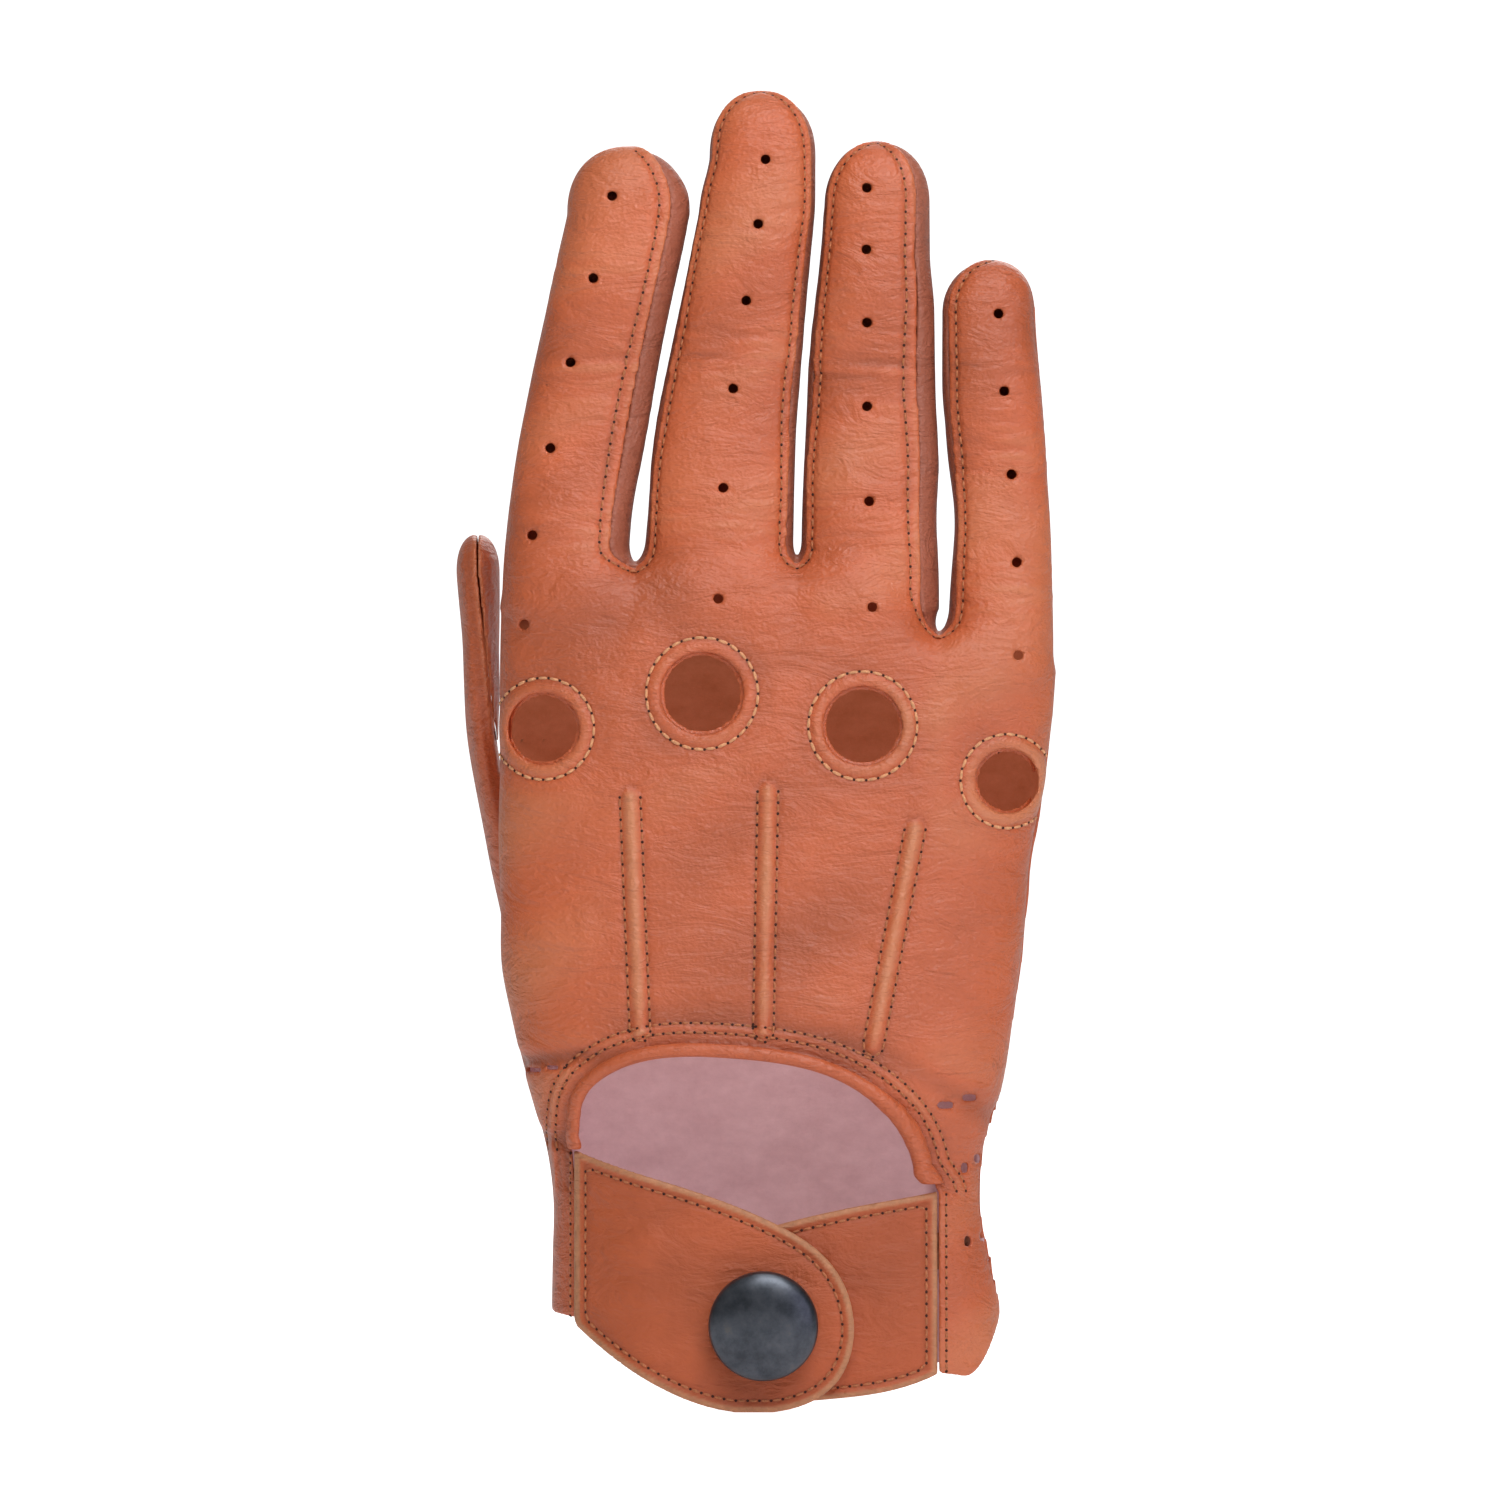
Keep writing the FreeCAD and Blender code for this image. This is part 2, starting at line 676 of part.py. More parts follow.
def turned(label, profile, depth):
    """A turned piece about the snap's axis. Profile corners are (radius, height) expressions;
    height zero lies at the given depth and grows outwards, away from the wrist."""
    body = doc.addObject("PartDesign::Body", label)
    body.Label = label
    plane = [f for f in body.Origin.OriginFeatures if f.Role == "XZ_Plane"][0]
    sketch = body.newObject("Sketcher::SketchObject", f"{label}_profile")
    sketch.AttachmentSupport = [(plane, "")]
    sketch.MapMode = "FlatFace"
    count = len(profile)
    for index in range(count):
        sketch.addGeometry(Part.LineSegment(Vector(index, index % 3 + 1, 0), Vector(index + 1, index + 2, 0)))
    for index in range(count):
        sketch.addConstraint(Sketcher.Constraint("Coincident", index, 2, (index + 1) % count, 1))
    for index, (radius, height) in enumerate(profile):
        first = sketch.addConstraint(Sketcher.Constraint("DistanceX", -1, 1, index, 1, 1.0 + index))
        second = sketch.addConstraint(Sketcher.Constraint("DistanceY", -1, 1, index, 1, 1.0 + index))
        sketch.setExpression(f"Constraints[{first}]", radius)
        sketch.setExpression(f"Constraints[{second}]", height)
    turn = body.newObject("PartDesign::Revolution", f"{label}_turn")
    turn.Profile = sketch
    turn.ReferenceAxis = (sketch, ["V_Axis"])
    turn.Angle = 360.0
    body.Placement = Placement(Vector(SNAP_X, depth, SNAP_Z), Rotation(Vector(1, 0, 0), 90))
    written.append(body)
    return body


surface = back_depth(SNAP_X, SNAP_Z, 0)
cap_seat = surface - LIFT - 2 * STRAP - 0.1
cap = turned("snap_cap", [
    ("0 mm", "0 mm"),
    ("Dimensions.post_radius * 1 mm", "0 mm"),
    ("Dimensions.post_radius * 1 mm", "Dimensions.shank * 1 mm"),
    ("Dimensions.cap_radius * 1 mm", "Dimensions.shank * 1 mm"),
    ("Dimensions.cap_radius * 1 mm", "(Dimensions.shank + Dimensions.cap_edge) * 1 mm"),
    ("Dimensions.cap_radius * 0.6 mm", "(Dimensions.shank + Dimensions.cap_height) * 1 mm"),
    ("0 mm", "(Dimensions.shank + Dimensions.cap_height) * 1 mm"),
], cap_seat + dim("shank"))
turned("snap_socket", [
    ("0 mm", "Dimensions.socket_height * 1 mm"),
    ("Dimensions.socket_neck * 1 mm", "Dimensions.socket_height * 1 mm"),
    ("Dimensions.socket_neck * 1 mm", "Dimensions.socket_rim * 1 mm"),
    ("Dimensions.socket_radius * 1 mm", "Dimensions.socket_rim * 1 mm"),
    ("Dimensions.socket_radius * 1 mm", "0 mm"),
    ("Dimensions.socket_bore * 1 mm", "0 mm"),
    ("Dimensions.socket_bore * 1 mm", "(Dimensions.socket_height - 0.25) * 1 mm"),
    ("0 mm", "(Dimensions.socket_height - 0.25) * 1 mm"),
], surface - 0.4)
turned("snap_stud", [
    ("0 mm", "0 mm"),
    ("Dimensions.stud_flange * 1 mm", "0 mm"),
    ("Dimensions.stud_flange * 1 mm", "Dimensions.flange_thickness * 1 mm"),
    ("Dimensions.stud_neck * 1 mm", "Dimensions.flange_thickness * 1 mm"),
    ("Dimensions.stud_neck * 1 mm",
     "(Dimensions.flange_thickness + Dimensions.under_leather + 0.3) * 1 mm"),
    ("Dimensions.stud_radius * 1 mm",
     "(Dimensions.flange_thickness + Dimensions.under_leather + 0.7) * 1 mm"),
    ("Dimensions.stud_radius * 1 mm",
     "(Dimensions.flange_thickness + Dimensions.under_leather + 1.4) * 1 mm"),
    ("Dimensions.stud_neck * 1 mm",
     "(Dimensions.flange_thickness + Dimensions.under_leather + 1.9) * 1 mm"),
    ("0 mm", "(Dimensions.flange_thickness + Dimensions.under_leather + 1.9) * 1 mm"),
], surface + dim("under_leather") + dim("flange_thickness") + 0.1)

# ---------------------------------------------------------------- elastic at the palm side of the wrist

elastic_outer = -LEATHER - 0.15
elastic_inner = elastic_outer - dim("elastic_thickness")
elastic = hand_solid(elastic_outer, high=4).cut(hand_solid(elastic_inner, high=4))
elastic_low = dim("elastic_middle") - dim("elastic_height") / 2
elastic_band = slab(-FAR, FAR, 4.0, FAR, elastic_low, elastic_low + dim("elastic_height"))
add("wrist_elastic", one_solid(elastic.common(elastic_band)))

# ---------------------------------------------------------------- check and write

doc.recompute()

cap_turn = cap.Tip
edges = []
for number, edge in enumerate(cap_turn.Shape.Edges, start=1):
    above_seat = edge.BoundBox.ZMin > dim("shank") + 0.5 * dim("cap_edge")
    if hasattr(edge.Curve, "Radius") and above_seat:
        edges.append(f"Edge{number}")
round_off = cap.newObject("PartDesign::Fillet", "snap_cap_round")
round_off.Base = (cap_turn, edges)
round_off.setExpression("Radius", "Dimensions.cap_round * 1 mm")
cap.Tip = round_off
doc.recompute()

for item in doc.Objects:
    if "Invalid" in item.State or "Error" in item.State:
        raise RuntimeError(f"{item.Label} did not build: {item.State}")

os.makedirs("parts", exist_ok=True)
for item in written:
    shape = item.Shape
    if shape.isNull() or not shape.isValid():
        raise RuntimeError(f"{item.Label} has no valid shape")
    shape.exportStep(f"parts/{item.Label}.step")
    box = shape.BoundBox
    print(f"{item.Label:34s} solids {len(shape.Solids)}  volume {shape.Volume:9.1f}  "
          f"x {box.XMin:7.2f} {box.XMax:7.2f}  y {box.YMin:7.2f} {box.YMax:7.2f}  "
          f"z {box.ZMin:7.2f} {box.ZMax:7.2f}")
print(len(written), "parts")
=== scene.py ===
import bpy
import bmesh
import json
import math
import numpy as np
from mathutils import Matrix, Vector

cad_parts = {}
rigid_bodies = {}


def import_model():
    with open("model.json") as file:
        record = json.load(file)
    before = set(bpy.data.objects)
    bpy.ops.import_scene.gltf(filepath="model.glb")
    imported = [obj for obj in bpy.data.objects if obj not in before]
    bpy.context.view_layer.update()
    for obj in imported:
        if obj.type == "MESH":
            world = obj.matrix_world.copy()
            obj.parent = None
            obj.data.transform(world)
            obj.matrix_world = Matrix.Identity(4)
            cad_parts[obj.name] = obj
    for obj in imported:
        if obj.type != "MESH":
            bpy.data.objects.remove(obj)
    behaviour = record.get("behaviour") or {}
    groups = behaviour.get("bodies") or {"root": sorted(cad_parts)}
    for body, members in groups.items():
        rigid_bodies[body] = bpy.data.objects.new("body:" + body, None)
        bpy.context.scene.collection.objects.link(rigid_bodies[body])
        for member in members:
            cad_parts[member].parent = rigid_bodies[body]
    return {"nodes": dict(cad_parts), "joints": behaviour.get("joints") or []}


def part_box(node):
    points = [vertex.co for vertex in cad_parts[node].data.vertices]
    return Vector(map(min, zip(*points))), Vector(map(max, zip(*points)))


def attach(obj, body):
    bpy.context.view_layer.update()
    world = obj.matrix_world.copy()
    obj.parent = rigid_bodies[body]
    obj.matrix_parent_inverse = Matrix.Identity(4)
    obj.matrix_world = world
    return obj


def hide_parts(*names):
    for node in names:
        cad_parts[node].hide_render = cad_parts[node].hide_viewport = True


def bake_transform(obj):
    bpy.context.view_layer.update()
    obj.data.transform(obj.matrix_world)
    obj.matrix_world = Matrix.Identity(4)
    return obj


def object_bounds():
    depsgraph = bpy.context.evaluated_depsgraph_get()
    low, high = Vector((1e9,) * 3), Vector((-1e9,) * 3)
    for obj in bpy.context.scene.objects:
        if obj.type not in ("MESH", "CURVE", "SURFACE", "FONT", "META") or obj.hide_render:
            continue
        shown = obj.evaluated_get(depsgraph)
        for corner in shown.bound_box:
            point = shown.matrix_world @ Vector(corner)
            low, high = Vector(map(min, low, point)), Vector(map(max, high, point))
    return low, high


# The looks of one right-hand leather driving glove, built round its CAD frame.
# Shapes are worked out in millimetres in the frame's axes and stored in metres.

for leftover in list(bpy.data.objects):
    bpy.data.objects.remove(leftover)

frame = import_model()
cad_low, cad_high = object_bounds()

MM = 0.001
rng = np.random.default_rng(7)

# ------------------------------------------------------------------ sizes of the soft work, in mm

LEATHER = 1.15  # thickness of the glove leather
SEAM_GAP = 0.16  # between the cut edges of two panels
EDGE_ROUND = 0.5  # rounding of cut edges
FINE_STEP = 0.5  # mesh steps: back and facings, strips between the fingers, palm
SIDE_STEP = 0.6
COARSE_STEP = 0.75
FINGER_FULLNESS = 2.55  # 2 is an ellipse in section, more is squarer
HAND_FULLNESS = 2.9
CAP_FULLNESS = 2.2  # roundness of fingertips
WEB_SOFTNESS = 5.0  # how softly fingers join the hand
CROTCH_SHARE = 0.42  # of the way from crotch to fingertip, where the middle fold sits
THREAD = 0.24  # radius
STITCH = 1.9  # spacing of the finger seams' stitches

FINGERS = ("index", "middle", "ring", "little")

# ------------------------------------------------------------------ reading the frame


def node_box(*names):
    """Lowest and highest corner of some CAD nodes together, in mm."""
    lows, highs = zip(*[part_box(name) for name in names])
    low = np.min([list(corner) for corner in lows], axis=0) / MM
    high = np.max([list(corner) for corner in highs], axis=0) / MM
    return low, high


node_meshes = {}


def node_mesh(name):
    """Points (in mm) and edges of a CAD node."""
    if name not in node_meshes:
        mesh = frame["nodes"][name].data
        places = np.empty(3 * len(mesh.vertices), np.float32)
        mesh.vertices.foreach_get("co", places)
        edges = np.empty(2 * len(mesh.edges), np.int32)
        mesh.edges.foreach_get("vertices", edges)
        node_meshes[name] = (places.reshape(-1, 3) / MM, edges.reshape(-1, 2))
    return node_meshes[name]


def slice_extent(names, height):
    """Left, right, front and back of the CAD nodes where a level plane at height (mm) cuts them."""
    found = []
    for name in names:
        places, edges = node_mesh(name)
        first = places[edges[:, 0]]
        second = places[edges[:, 1]]
        crossing = (first[:, 2] - height) * (second[:, 2] - height) < 0
        a = first[crossing]
        b = second[crossing]
        share = (height - a[:, 2]) / (b[:, 2] - a[:, 2])
        found.append(a[:, :2] + share[:, None] * (b[:, :2] - a[:, :2]))
    places = np.concatenate(found)
    return places[:, 0].min(), places[:, 0].max(), places[:, 1].min(), places[:, 1].max()


joints = {joint["name"]: joint for joint in frame["joints"]}
knuckle_fold = joints["knuckle_fold"]["pos_m"][2] / MM
knuckle_end = knuckle_fold + 20


def smooth_curve(places, values):
    """A smooth function through (places, values), flat beyond both ends."""
    places = np.asarray(places, float)
    values = np.asarray(values, float)
    slopes = np.gradient(values, places)

    def at(where):
        where = np.clip(where, places[0], places[-1])
        span = np.clip(np.searchsorted(places, where, side="right") - 1, 0, len(places) - 2)
        width = places[span + 1] - places[span]
        t = (where - places[span]) / width
        h00 = (1 + 2 * t) * (1 - t) ** 2
        h10 = t * (1 - t) ** 2
        h01 = t * t * (3 - 2 * t)
        h11 = t * t * (t - 1)
        return (h00 * values[span] + h10 * width * slopes[span]
                + h01 * values[span + 1] + h11 * width * slopes[span + 1])
    return at


def smooth_step(value):
    share = np.clip(value, 0, 1)
    return share * share * (3 - 2 * share)


class Stall:
    """The outside of one finger stall: edges and half depth against height, and a round end."""

    def __init__(self, name):
        self.name = name
        self.middle_fold = joints[f"{name}_fold"]["pos_m"][2] / MM
        self.tip_fold = joints[f"{name}_tip_fold"]["pos_m"][2] / MM
        nodes = [n for n in frame["nodes"] if n.startswith(f"{name}_middle_")]
        tip_nodes = [n for n in frame["nodes"] if n.startswith(f"{name}_tip_")]
        self.top = node_box(*tip_nodes)[1][2]
        self.crotch = (self.middle_fold - CROTCH_SHARE * self.top) / (1 - CROTCH_SHARE)
        self.length = self.tip_fold - self.middle_fold
        heights = [self.middle_fold + 0.1 * self.length, self.middle_fold + 0.8 * self.length]
        rows = [slice_extent(nodes, height) for height in heights]
        self.cap_start = self.top - 0.5 * (rows[1][1] - rows[1][0]) * 1.08
        heights.append(self.cap_start - 0.5)
        rows.append(slice_extent(tip_nodes, self.cap_start - 0.5))
        self.heights = heights
        self.rows = rows

    def set_root(self, left, right, depth):
        """Adds the root level at the crotch and one below it, inside the hand."""
        heights = [self.crotch - 22, self.crotch + 0.5] + self.heights
        self.left = smooth_curve(heights, [left, left] + [row[0] for row in self.rows])
        self.right = smooth_curve(heights, [right, right] + [row[1] for row in self.rows])
        self.depth = smooth_curve(heights, [depth + 1.5, depth] + [row[3] for row in self.rows])

    def centre(self, z):
        return (self.left(z) + self.right(z)) / 2

    def field(self, x, y, z):
        """Below zero inside the stall, growing about 1 per mm outside."""
        left = self.left(z)
        right = self.right(z)
        half = (right - left) / 2
        depth = self.depth(z)
        across = np.abs(x - (left + right) / 2) / half
        along = np.abs(y) / depth
        ring = (across ** FINGER_FULLNESS + along ** FINGER_FULLNESS) ** (1 / FINGER_FULLNESS)
        cap = np.maximum(z - self.cap_start, 0) / (self.top - self.cap_start)
        root = np.maximum(self.crotch - 6 - z, 0)
        return ((ring ** CAP_FULLNESS + cap ** CAP_FULLNESS) ** (1 / CAP_FULLNESS) - 1) * depth + 0.4 * root


stalls = {name: Stall(name) for name in FINGERS}
HAND_NODES = ["hand_back", "hand_palm"]
ROOT_NODES = ["knuckle_back", "knuckle_palm"]
webs = {
    ("index", "middle"): "fourchette_root_index_middle",
    ("middle", "ring"): "fourchette_root_middle_ring",
    ("ring", "little"): "fourchette_root_ring_little",
}
ROOT_GAP = 0.7
crotch_across = {}
for pair, node in webs.items():
    level = min(stalls[pair[0]].crotch, stalls[pair[1]].crotch) + 1.0
    left, right, _, _ = slice_extent([node], level)
    crotch_across[pair] = (left + right) / 2
root_left = slice_extent(ROOT_NODES, stalls["index"].crotch)[0]
root_right = slice_extent(ROOT_NODES, stalls["little"].crotch)[1]
root_edges = {
    "index": (root_left, crotch_across[("index", "middle")] - 1.2),
    "middle": (crotch_across[("index", "middle")] + 0.6, crotch_across[("middle", "ring")] - ROOT_GAP / 2),
    "ring": (crotch_across[("middle", "ring")] + ROOT_GAP / 2, crotch_across[("ring", "little")] - 0.5),
    "little": (crotch_across[("ring", "little")] + 0.5, root_right),
}
ROOT_DEPTH = node_box("index_middle_palm")[1][1] + 0.5
for name in FINGERS:
    stalls[name].set_root(*root_edges[name], ROOT_DEPTH)


def fill_gaps():
    """Lets the sides of neighbouring stalls bulge towards each other until they nearly touch."""
    near = 0.35
    most = 2.0
    for first, second in zip(FINGERS, FINGERS[1:]):
        left_stall = stalls[first]
        right_stall = stalls[second]
        low = max(left_stall.crotch, right_stall.crotch) + 6
        high = min(left_stall.cap_start, right_stall.cap_start)
        heights = np.linspace(low - 30, high + 12, 24)
        gap = right_stall.left(heights) - left_stall.right(heights)
        bulge = np.clip(gap / 2 - near, 0, most) * smooth_step((heights - low) / 14)
        bulge = bulge * smooth_step((high + 10 - heights) / 10)
        more = smooth_curve(heights, bulge)
        wide_right = left_stall.right
        wide_left = right_stall.left
        left_stall.right = lambda z, edge=wide_right, more=more: edge(z) + more(z)
        right_stall.left = lambda z, edge=wide_left, more=more: edge(z) - more(z)


fill_gaps()

cuff_low = node_box("hand_palm")[0][2]
hand_heights = list(np.linspace(cuff_low + 13, knuckle_fold - 16, 11))
hand_rows = [slice_extent(HAND_NODES, height) for height in hand_heights]
for height in (knuckle_fold + 12.0, stalls["index"].crotch - 4.0):
    row = slice_extent(ROOT_NODES, height)
    hand_heights.append(height)
    hand_rows.append(row)
hand_left = smooth_curve(hand_heights, [row[0] for row in hand_rows])
hand_right = smooth_curve(hand_heights, [row[1] for row in hand_rows])
hand_front = smooth_curve(hand_heights, [row[2] for row in hand_rows])
hand_palm = smooth_curve(hand_heights, [row[3] for row in hand_rows])


def smooth_min(a, b, width):
    share = np.clip(0.5 + 0.5 * (b - a) / width, 0, 1)
    return b + (a - b) * share - width * share * (1 - share)


def smooth_max(a, b, width):
    return -smooth_min(-a, -b, width)


def crotch_height(x):
    """Height of the crotches: level, and lower past the ring finger."""
    low_crotch = stalls["little"].crotch
    high_crotch = stalls["index"].crotch
    second = crotch_across[("middle", "ring")] + 8
    third = crotch_across[("ring", "little")]
    fall = np.clip((x - second) / (third - second), 0, 1)
    return high_crotch + (low_crotch - high_crotch) * fall * fall * (3 - 2 * fall)


def hand_field(x, y, z):
    """Below zero inside the hand part of the glove, rounded off at the crotches."""
    left = hand_left(z)
    right = hand_right(z)
    front = hand_front(z)
    palm = hand_palm(z)
    half = (right - left) / 2
    depth = (palm - front) / 2
    across = np.abs(x - (left + right) / 2) / half
    along = np.abs(y - (palm + front) / 2) / depth
    ring = (across ** HAND_FULLNESS + along ** HAND_FULLNESS) ** (1 / HAND_FULLNESS)
    side = (ring - 1) * np.minimum(depth, half)
    return smooth_max(side, z - crotch_height(x), 6.0)


def finger_field(x, y, z):
    parts = [stalls[name].field(x, y, z) for name in FINGERS]
    return np.minimum(np.minimum(parts[0], parts[1]), np.minimum(parts[2], parts[3]))


def glove_field(x, y, z):
    """Hand and fingers joined softly, and less so along the two outer edges."""
    from_left = smooth_step((x - hand_left(z)) / 16)
    from_right = smooth_step((hand_right(z) - x) / 16)
    softness = 0.6 + WEB_SOFTNESS * from_left * from_right
    return smooth_min(hand_field(x, y, z), finger_field(x, y, z), softness)


# ------------------------------------------------------------------ creases and softness


def waves(seed, count, length_x, length_z, x, z, y=0.0):
    """A smooth irregular height between about -1 and 1, from a few long waves."""
    local = np.random.default_rng(seed)
    total = 0.0
    for _ in range(count):
        kx = local.normal(0, 1) / length_x
        kz = local.normal(0, 1) / length_z
        ky = local.normal(0, 1) / length_x
        total = total + np.cos(kx * x + kz * z + ky * y + local.uniform(0, 6.28))
    return total / math.sqrt(count)


def bump(value, centre, width):
    return np.exp(-((value - centre) / width) ** 2)


def segment_distance(x, z, a, b):
    """Distance from (x, z) to the straight line between two places."""
    ax, az = a
    bx, bz = b
    length = (bx - ax) ** 2 + (bz - az) ** 2
    share = np.clip(((x - ax) * (bx - ax) + (z - az) * (bz - az)) / length, 0, 1)
    return np.hypot(x - ax - share * (bx - ax), z - az - share * (bz - az))


def ends_of(node):
    """Lower and upper end of a nearly upright strip, as (across, up) places."""
    places, _ = node_mesh(node)
    low = places[places[:, 2] < places[:, 2].min() + 1.0].mean(0)
    high = places[places[:, 2] > places[:, 2].max() - 1.0].mean(0)
    return (low[0], low[2]), (high[0], high[2])


points = {name: ends_of(f"point_{name}") for name in ("left", "middle", "right")}

holes = {}
for name in FINGERS:
    low, high = node_box(f"knuckle_facing_{name}")
    places, _ = node_mesh(f"knuckle_facing_{name}")
    outer = (high[2] - low[2]) / 2
    across = high[0] - outer if high[0] + low[0] < 0 else low[0] + outer
    height = (high[2] + low[2]) / 2
    reach = np.hypot(places[:, 0] - across, places[:, 2] - height)
    holes[name] = {"centre": (across, height), "radius": reach.min(), "outer": outer}


def hole_distance(name, x, z):
    """Distance outside a knuckle hole's edge, in the front view."""
    across, height = holes[name]["centre"]
    return np.hypot(x - across, z - height) - holes[name]["radius"]


def back_creases(x, z):
    """How far the leather of the back sinks below its smooth shape, in mm."""
    sink = 0.22 * waves(3, 7, 9.0, 12.0, x, z)
    for name in FINGERS:
        stall = stalls[name]
        inside = smooth_step((z - stall.crotch) / 6 + 0.5)
        near = np.exp(-((x - stall.centre(z)) / 13.0) ** 4)
        ripple = waves(11 + len(name), 9, 6.0, 0.75, x, z)
        fold = bump(z, stall.middle_fold + 4, 6.0) + 0.55 * bump(z, stall.tip_fold, 4.0)
        root = bump(z, stall.crotch + 8, 5.0)
        sink = sink + near * inside * (0.2 * fold * ripple + 0.15 * root * ripple)
    spread = waves(23, 9, 2.2, 3.2, x, z)
    for pair, across in crotch_across.items():
        crotch = min(stalls[pair[0]].crotch, stalls[pair[1]].crotch)
        reach = np.hypot(x - across, (z - crotch + 9) * 0.8)
        sink = sink + 0.12 * np.exp(-(reach / 11) ** 2) * spread
    return sink


# ------------------------------------------------------------------ turning a field into a mesh


class Grid:
    """A block of sample places with an even step."""

    def __init__(self, low, high, step):
        self.low = np.array(low, float)
        self.step = step
        self.count = np.ceil((np.array(high, float) - self.low) / step).astype(int) + 1
        axes = [self.low[i] + step * np.arange(self.count[i]) for i in range(3)]
        self.x = axes[0][:, None, None].astype(np.float32)
        self.y = axes[1][None, :, None].astype(np.float32)
        self.z = axes[2][None, None, :].astype(np.float32)


def surface_mesh(grid, field):
    """Points and quads of the surface where the field is zero (one point per crossed cell)."""
    inside = field < 0
    shape = np.array(field.shape) - 1
    total = np.zeros(tuple(shape) + (3,), np.float32)
    hits = np.zeros(tuple(shape), np.float32)
    corner = [slice(0, -1), slice(1, None)]
    for axis in range(3):
        others = [a for a in range(3) if a != axis]
        for i in (0, 1):
            for j in (0, 1):
                pick = [None, None, None]
                pick[others[0]] = corner[i]
                pick[others[1]] = corner[j]
                pick[axis] = corner[0]
                a = field[tuple(pick)]
                pick[axis] = corner[1]
                b = field[tuple(pick)]
                cross = (a < 0) != (b < 0)
                gap = np.where(cross, a - b, 1.0)
                share = np.where(cross, a / gap, 0.0)
                total[..., axis] += share
                total[..., others[0]] += cross * i
                total[..., others[1]] += cross * j
                hits += cross
    used = hits > 0
    cells = np.argwhere(used)
    number = -np.ones(tuple(shape), np.int64)
    number[used] = np.arange(len(cells))
    points_out = grid.low + (cells + total[used] / hits[used][:, None]) * grid.step
    quads = []
    for axis in range(3):
        others = [a for a in range(3) if a != axis]
        pick_low = [slice(1, -1)] * 3
        pick_high = [slice(1, -1)] * 3
        pick_low[axis] = slice(0, -1)
        pick_high[axis] = slice(1, None)
        a = inside[tuple(pick_low)]
        b = inside[tuple(pick_high)]
        for out_way in (True, False):
            found = np.argwhere(a & ~b if out_way else ~a & b)
            if len(found) == 0:
                continue
            base = found.copy()
            for other in others:
                base[:, other] += 1
            ring = []
            for i, j in ((0, 0), (1, 0), (1, 1), (0, 1)):
                cell = base.copy()
                cell[:, others[0]] -= i
                cell[:, others[1]] -= j
                ring.append(number[cell[:, 0], cell[:, 1], cell[:, 2]])
            face = np.stack(ring, axis=1)
            flip = out_way == (axis != 1)
            quads.append(face if flip else face[:, ::-1])
    return points_out, np.concatenate(quads)


def sample(grid, field, places):
    """The field between sample places, by straight-line mixing."""
    where = (places - grid.low) / grid.step
    cell = np.clip(np.floor(where).astype(int), 0, np.array(field.shape) - 2)
    part = where - cell
    total = 0.0
    for i in (0, 1):
        for j in (0, 1):
            for k in (0, 1):
                weight = (np.abs(1 - i - part[:, 0]) * np.abs(1 - j - part[:, 1])
                          * np.abs(1 - k - part[:, 2]))
                total = total + weight * field[cell[:, 0] + i, cell[:, 1] + j, cell[:, 2] + k]
    return total


def settle(grid, field, places, quads, rounds=2):
    """Evens out the mesh, then puts its points back on the surface."""
    for _ in range(rounds):
        total = np.zeros_like(places)
        count = np.zeros(len(places))
        for i in range(4):
            for j in (1, 3):
                np.add.at(total, quads[:, i], places[quads[:, (i + j) % 4]])
                np.add.at(count, quads[:, i], 1)
        places = 0.5 * places + 0.5 * total / np.maximum(count, 1)[:, None]
        value = sample(grid, field, places)
        small = 0.35 * grid.step
        slope = np.stack([
            (sample(grid, field, places + small * np.eye(3)[axis])
             - sample(grid, field, places - small * np.eye(3)[axis])) / (2 * small)
            for axis in range(3)
        ], axis=1)
        size = np.maximum((slope ** 2).sum(1), 0.2)
        move = value / size
        places = places - np.clip(move, -0.4 * grid.step, 0.4 * grid.step)[:, None] * slope
    return places


def even_distance(grid, field):
    """Rescales a field so that it grows by one per mm near its surface."""
    slopes = np.gradient(field, grid.step)
    size = np.sqrt(sum(slope ** 2 for slope in slopes))
    return field / np.clip(size, 0.35, 3.0)


def new_mesh_object(name, places, faces, normals=None, materials=(), face_material=None):
    """A mesh object from points in mm and a list of faces."""
    mesh = bpy.data.meshes.new(name)
    mesh.from_pydata((np.array(places) * MM).tolist(), [], faces)
    mesh.update()
    mesh.shade_smooth()
    for material in materials:
        mesh.materials.append(material)
    if face_material is not None:
        mesh.polygons.foreach_set("material_index", face_material.astype(np.int32))
    if normals is not None:
        mesh.normals_split_custom_set_from_vertices(normals.tolist())
    piece = bpy.data.objects.new(name, mesh)
    bpy.context.scene.collection.objects.link(piece)
    return piece


def vertex_normals(places, quads):
    a = places[quads[:, 0]]
    b = places[quads[:, 1]]
    c = places[quads[:, 2]]
    d = places[quads[:, 3]]
    face = np.cross(c - a, d - b)
    total = np.zeros_like(places)
    for i in range(4):
        np.add.at(total, quads[:, i], face)
    return total / np.maximum(np.linalg.norm(total, axis=1), 1e-9)[:, None]


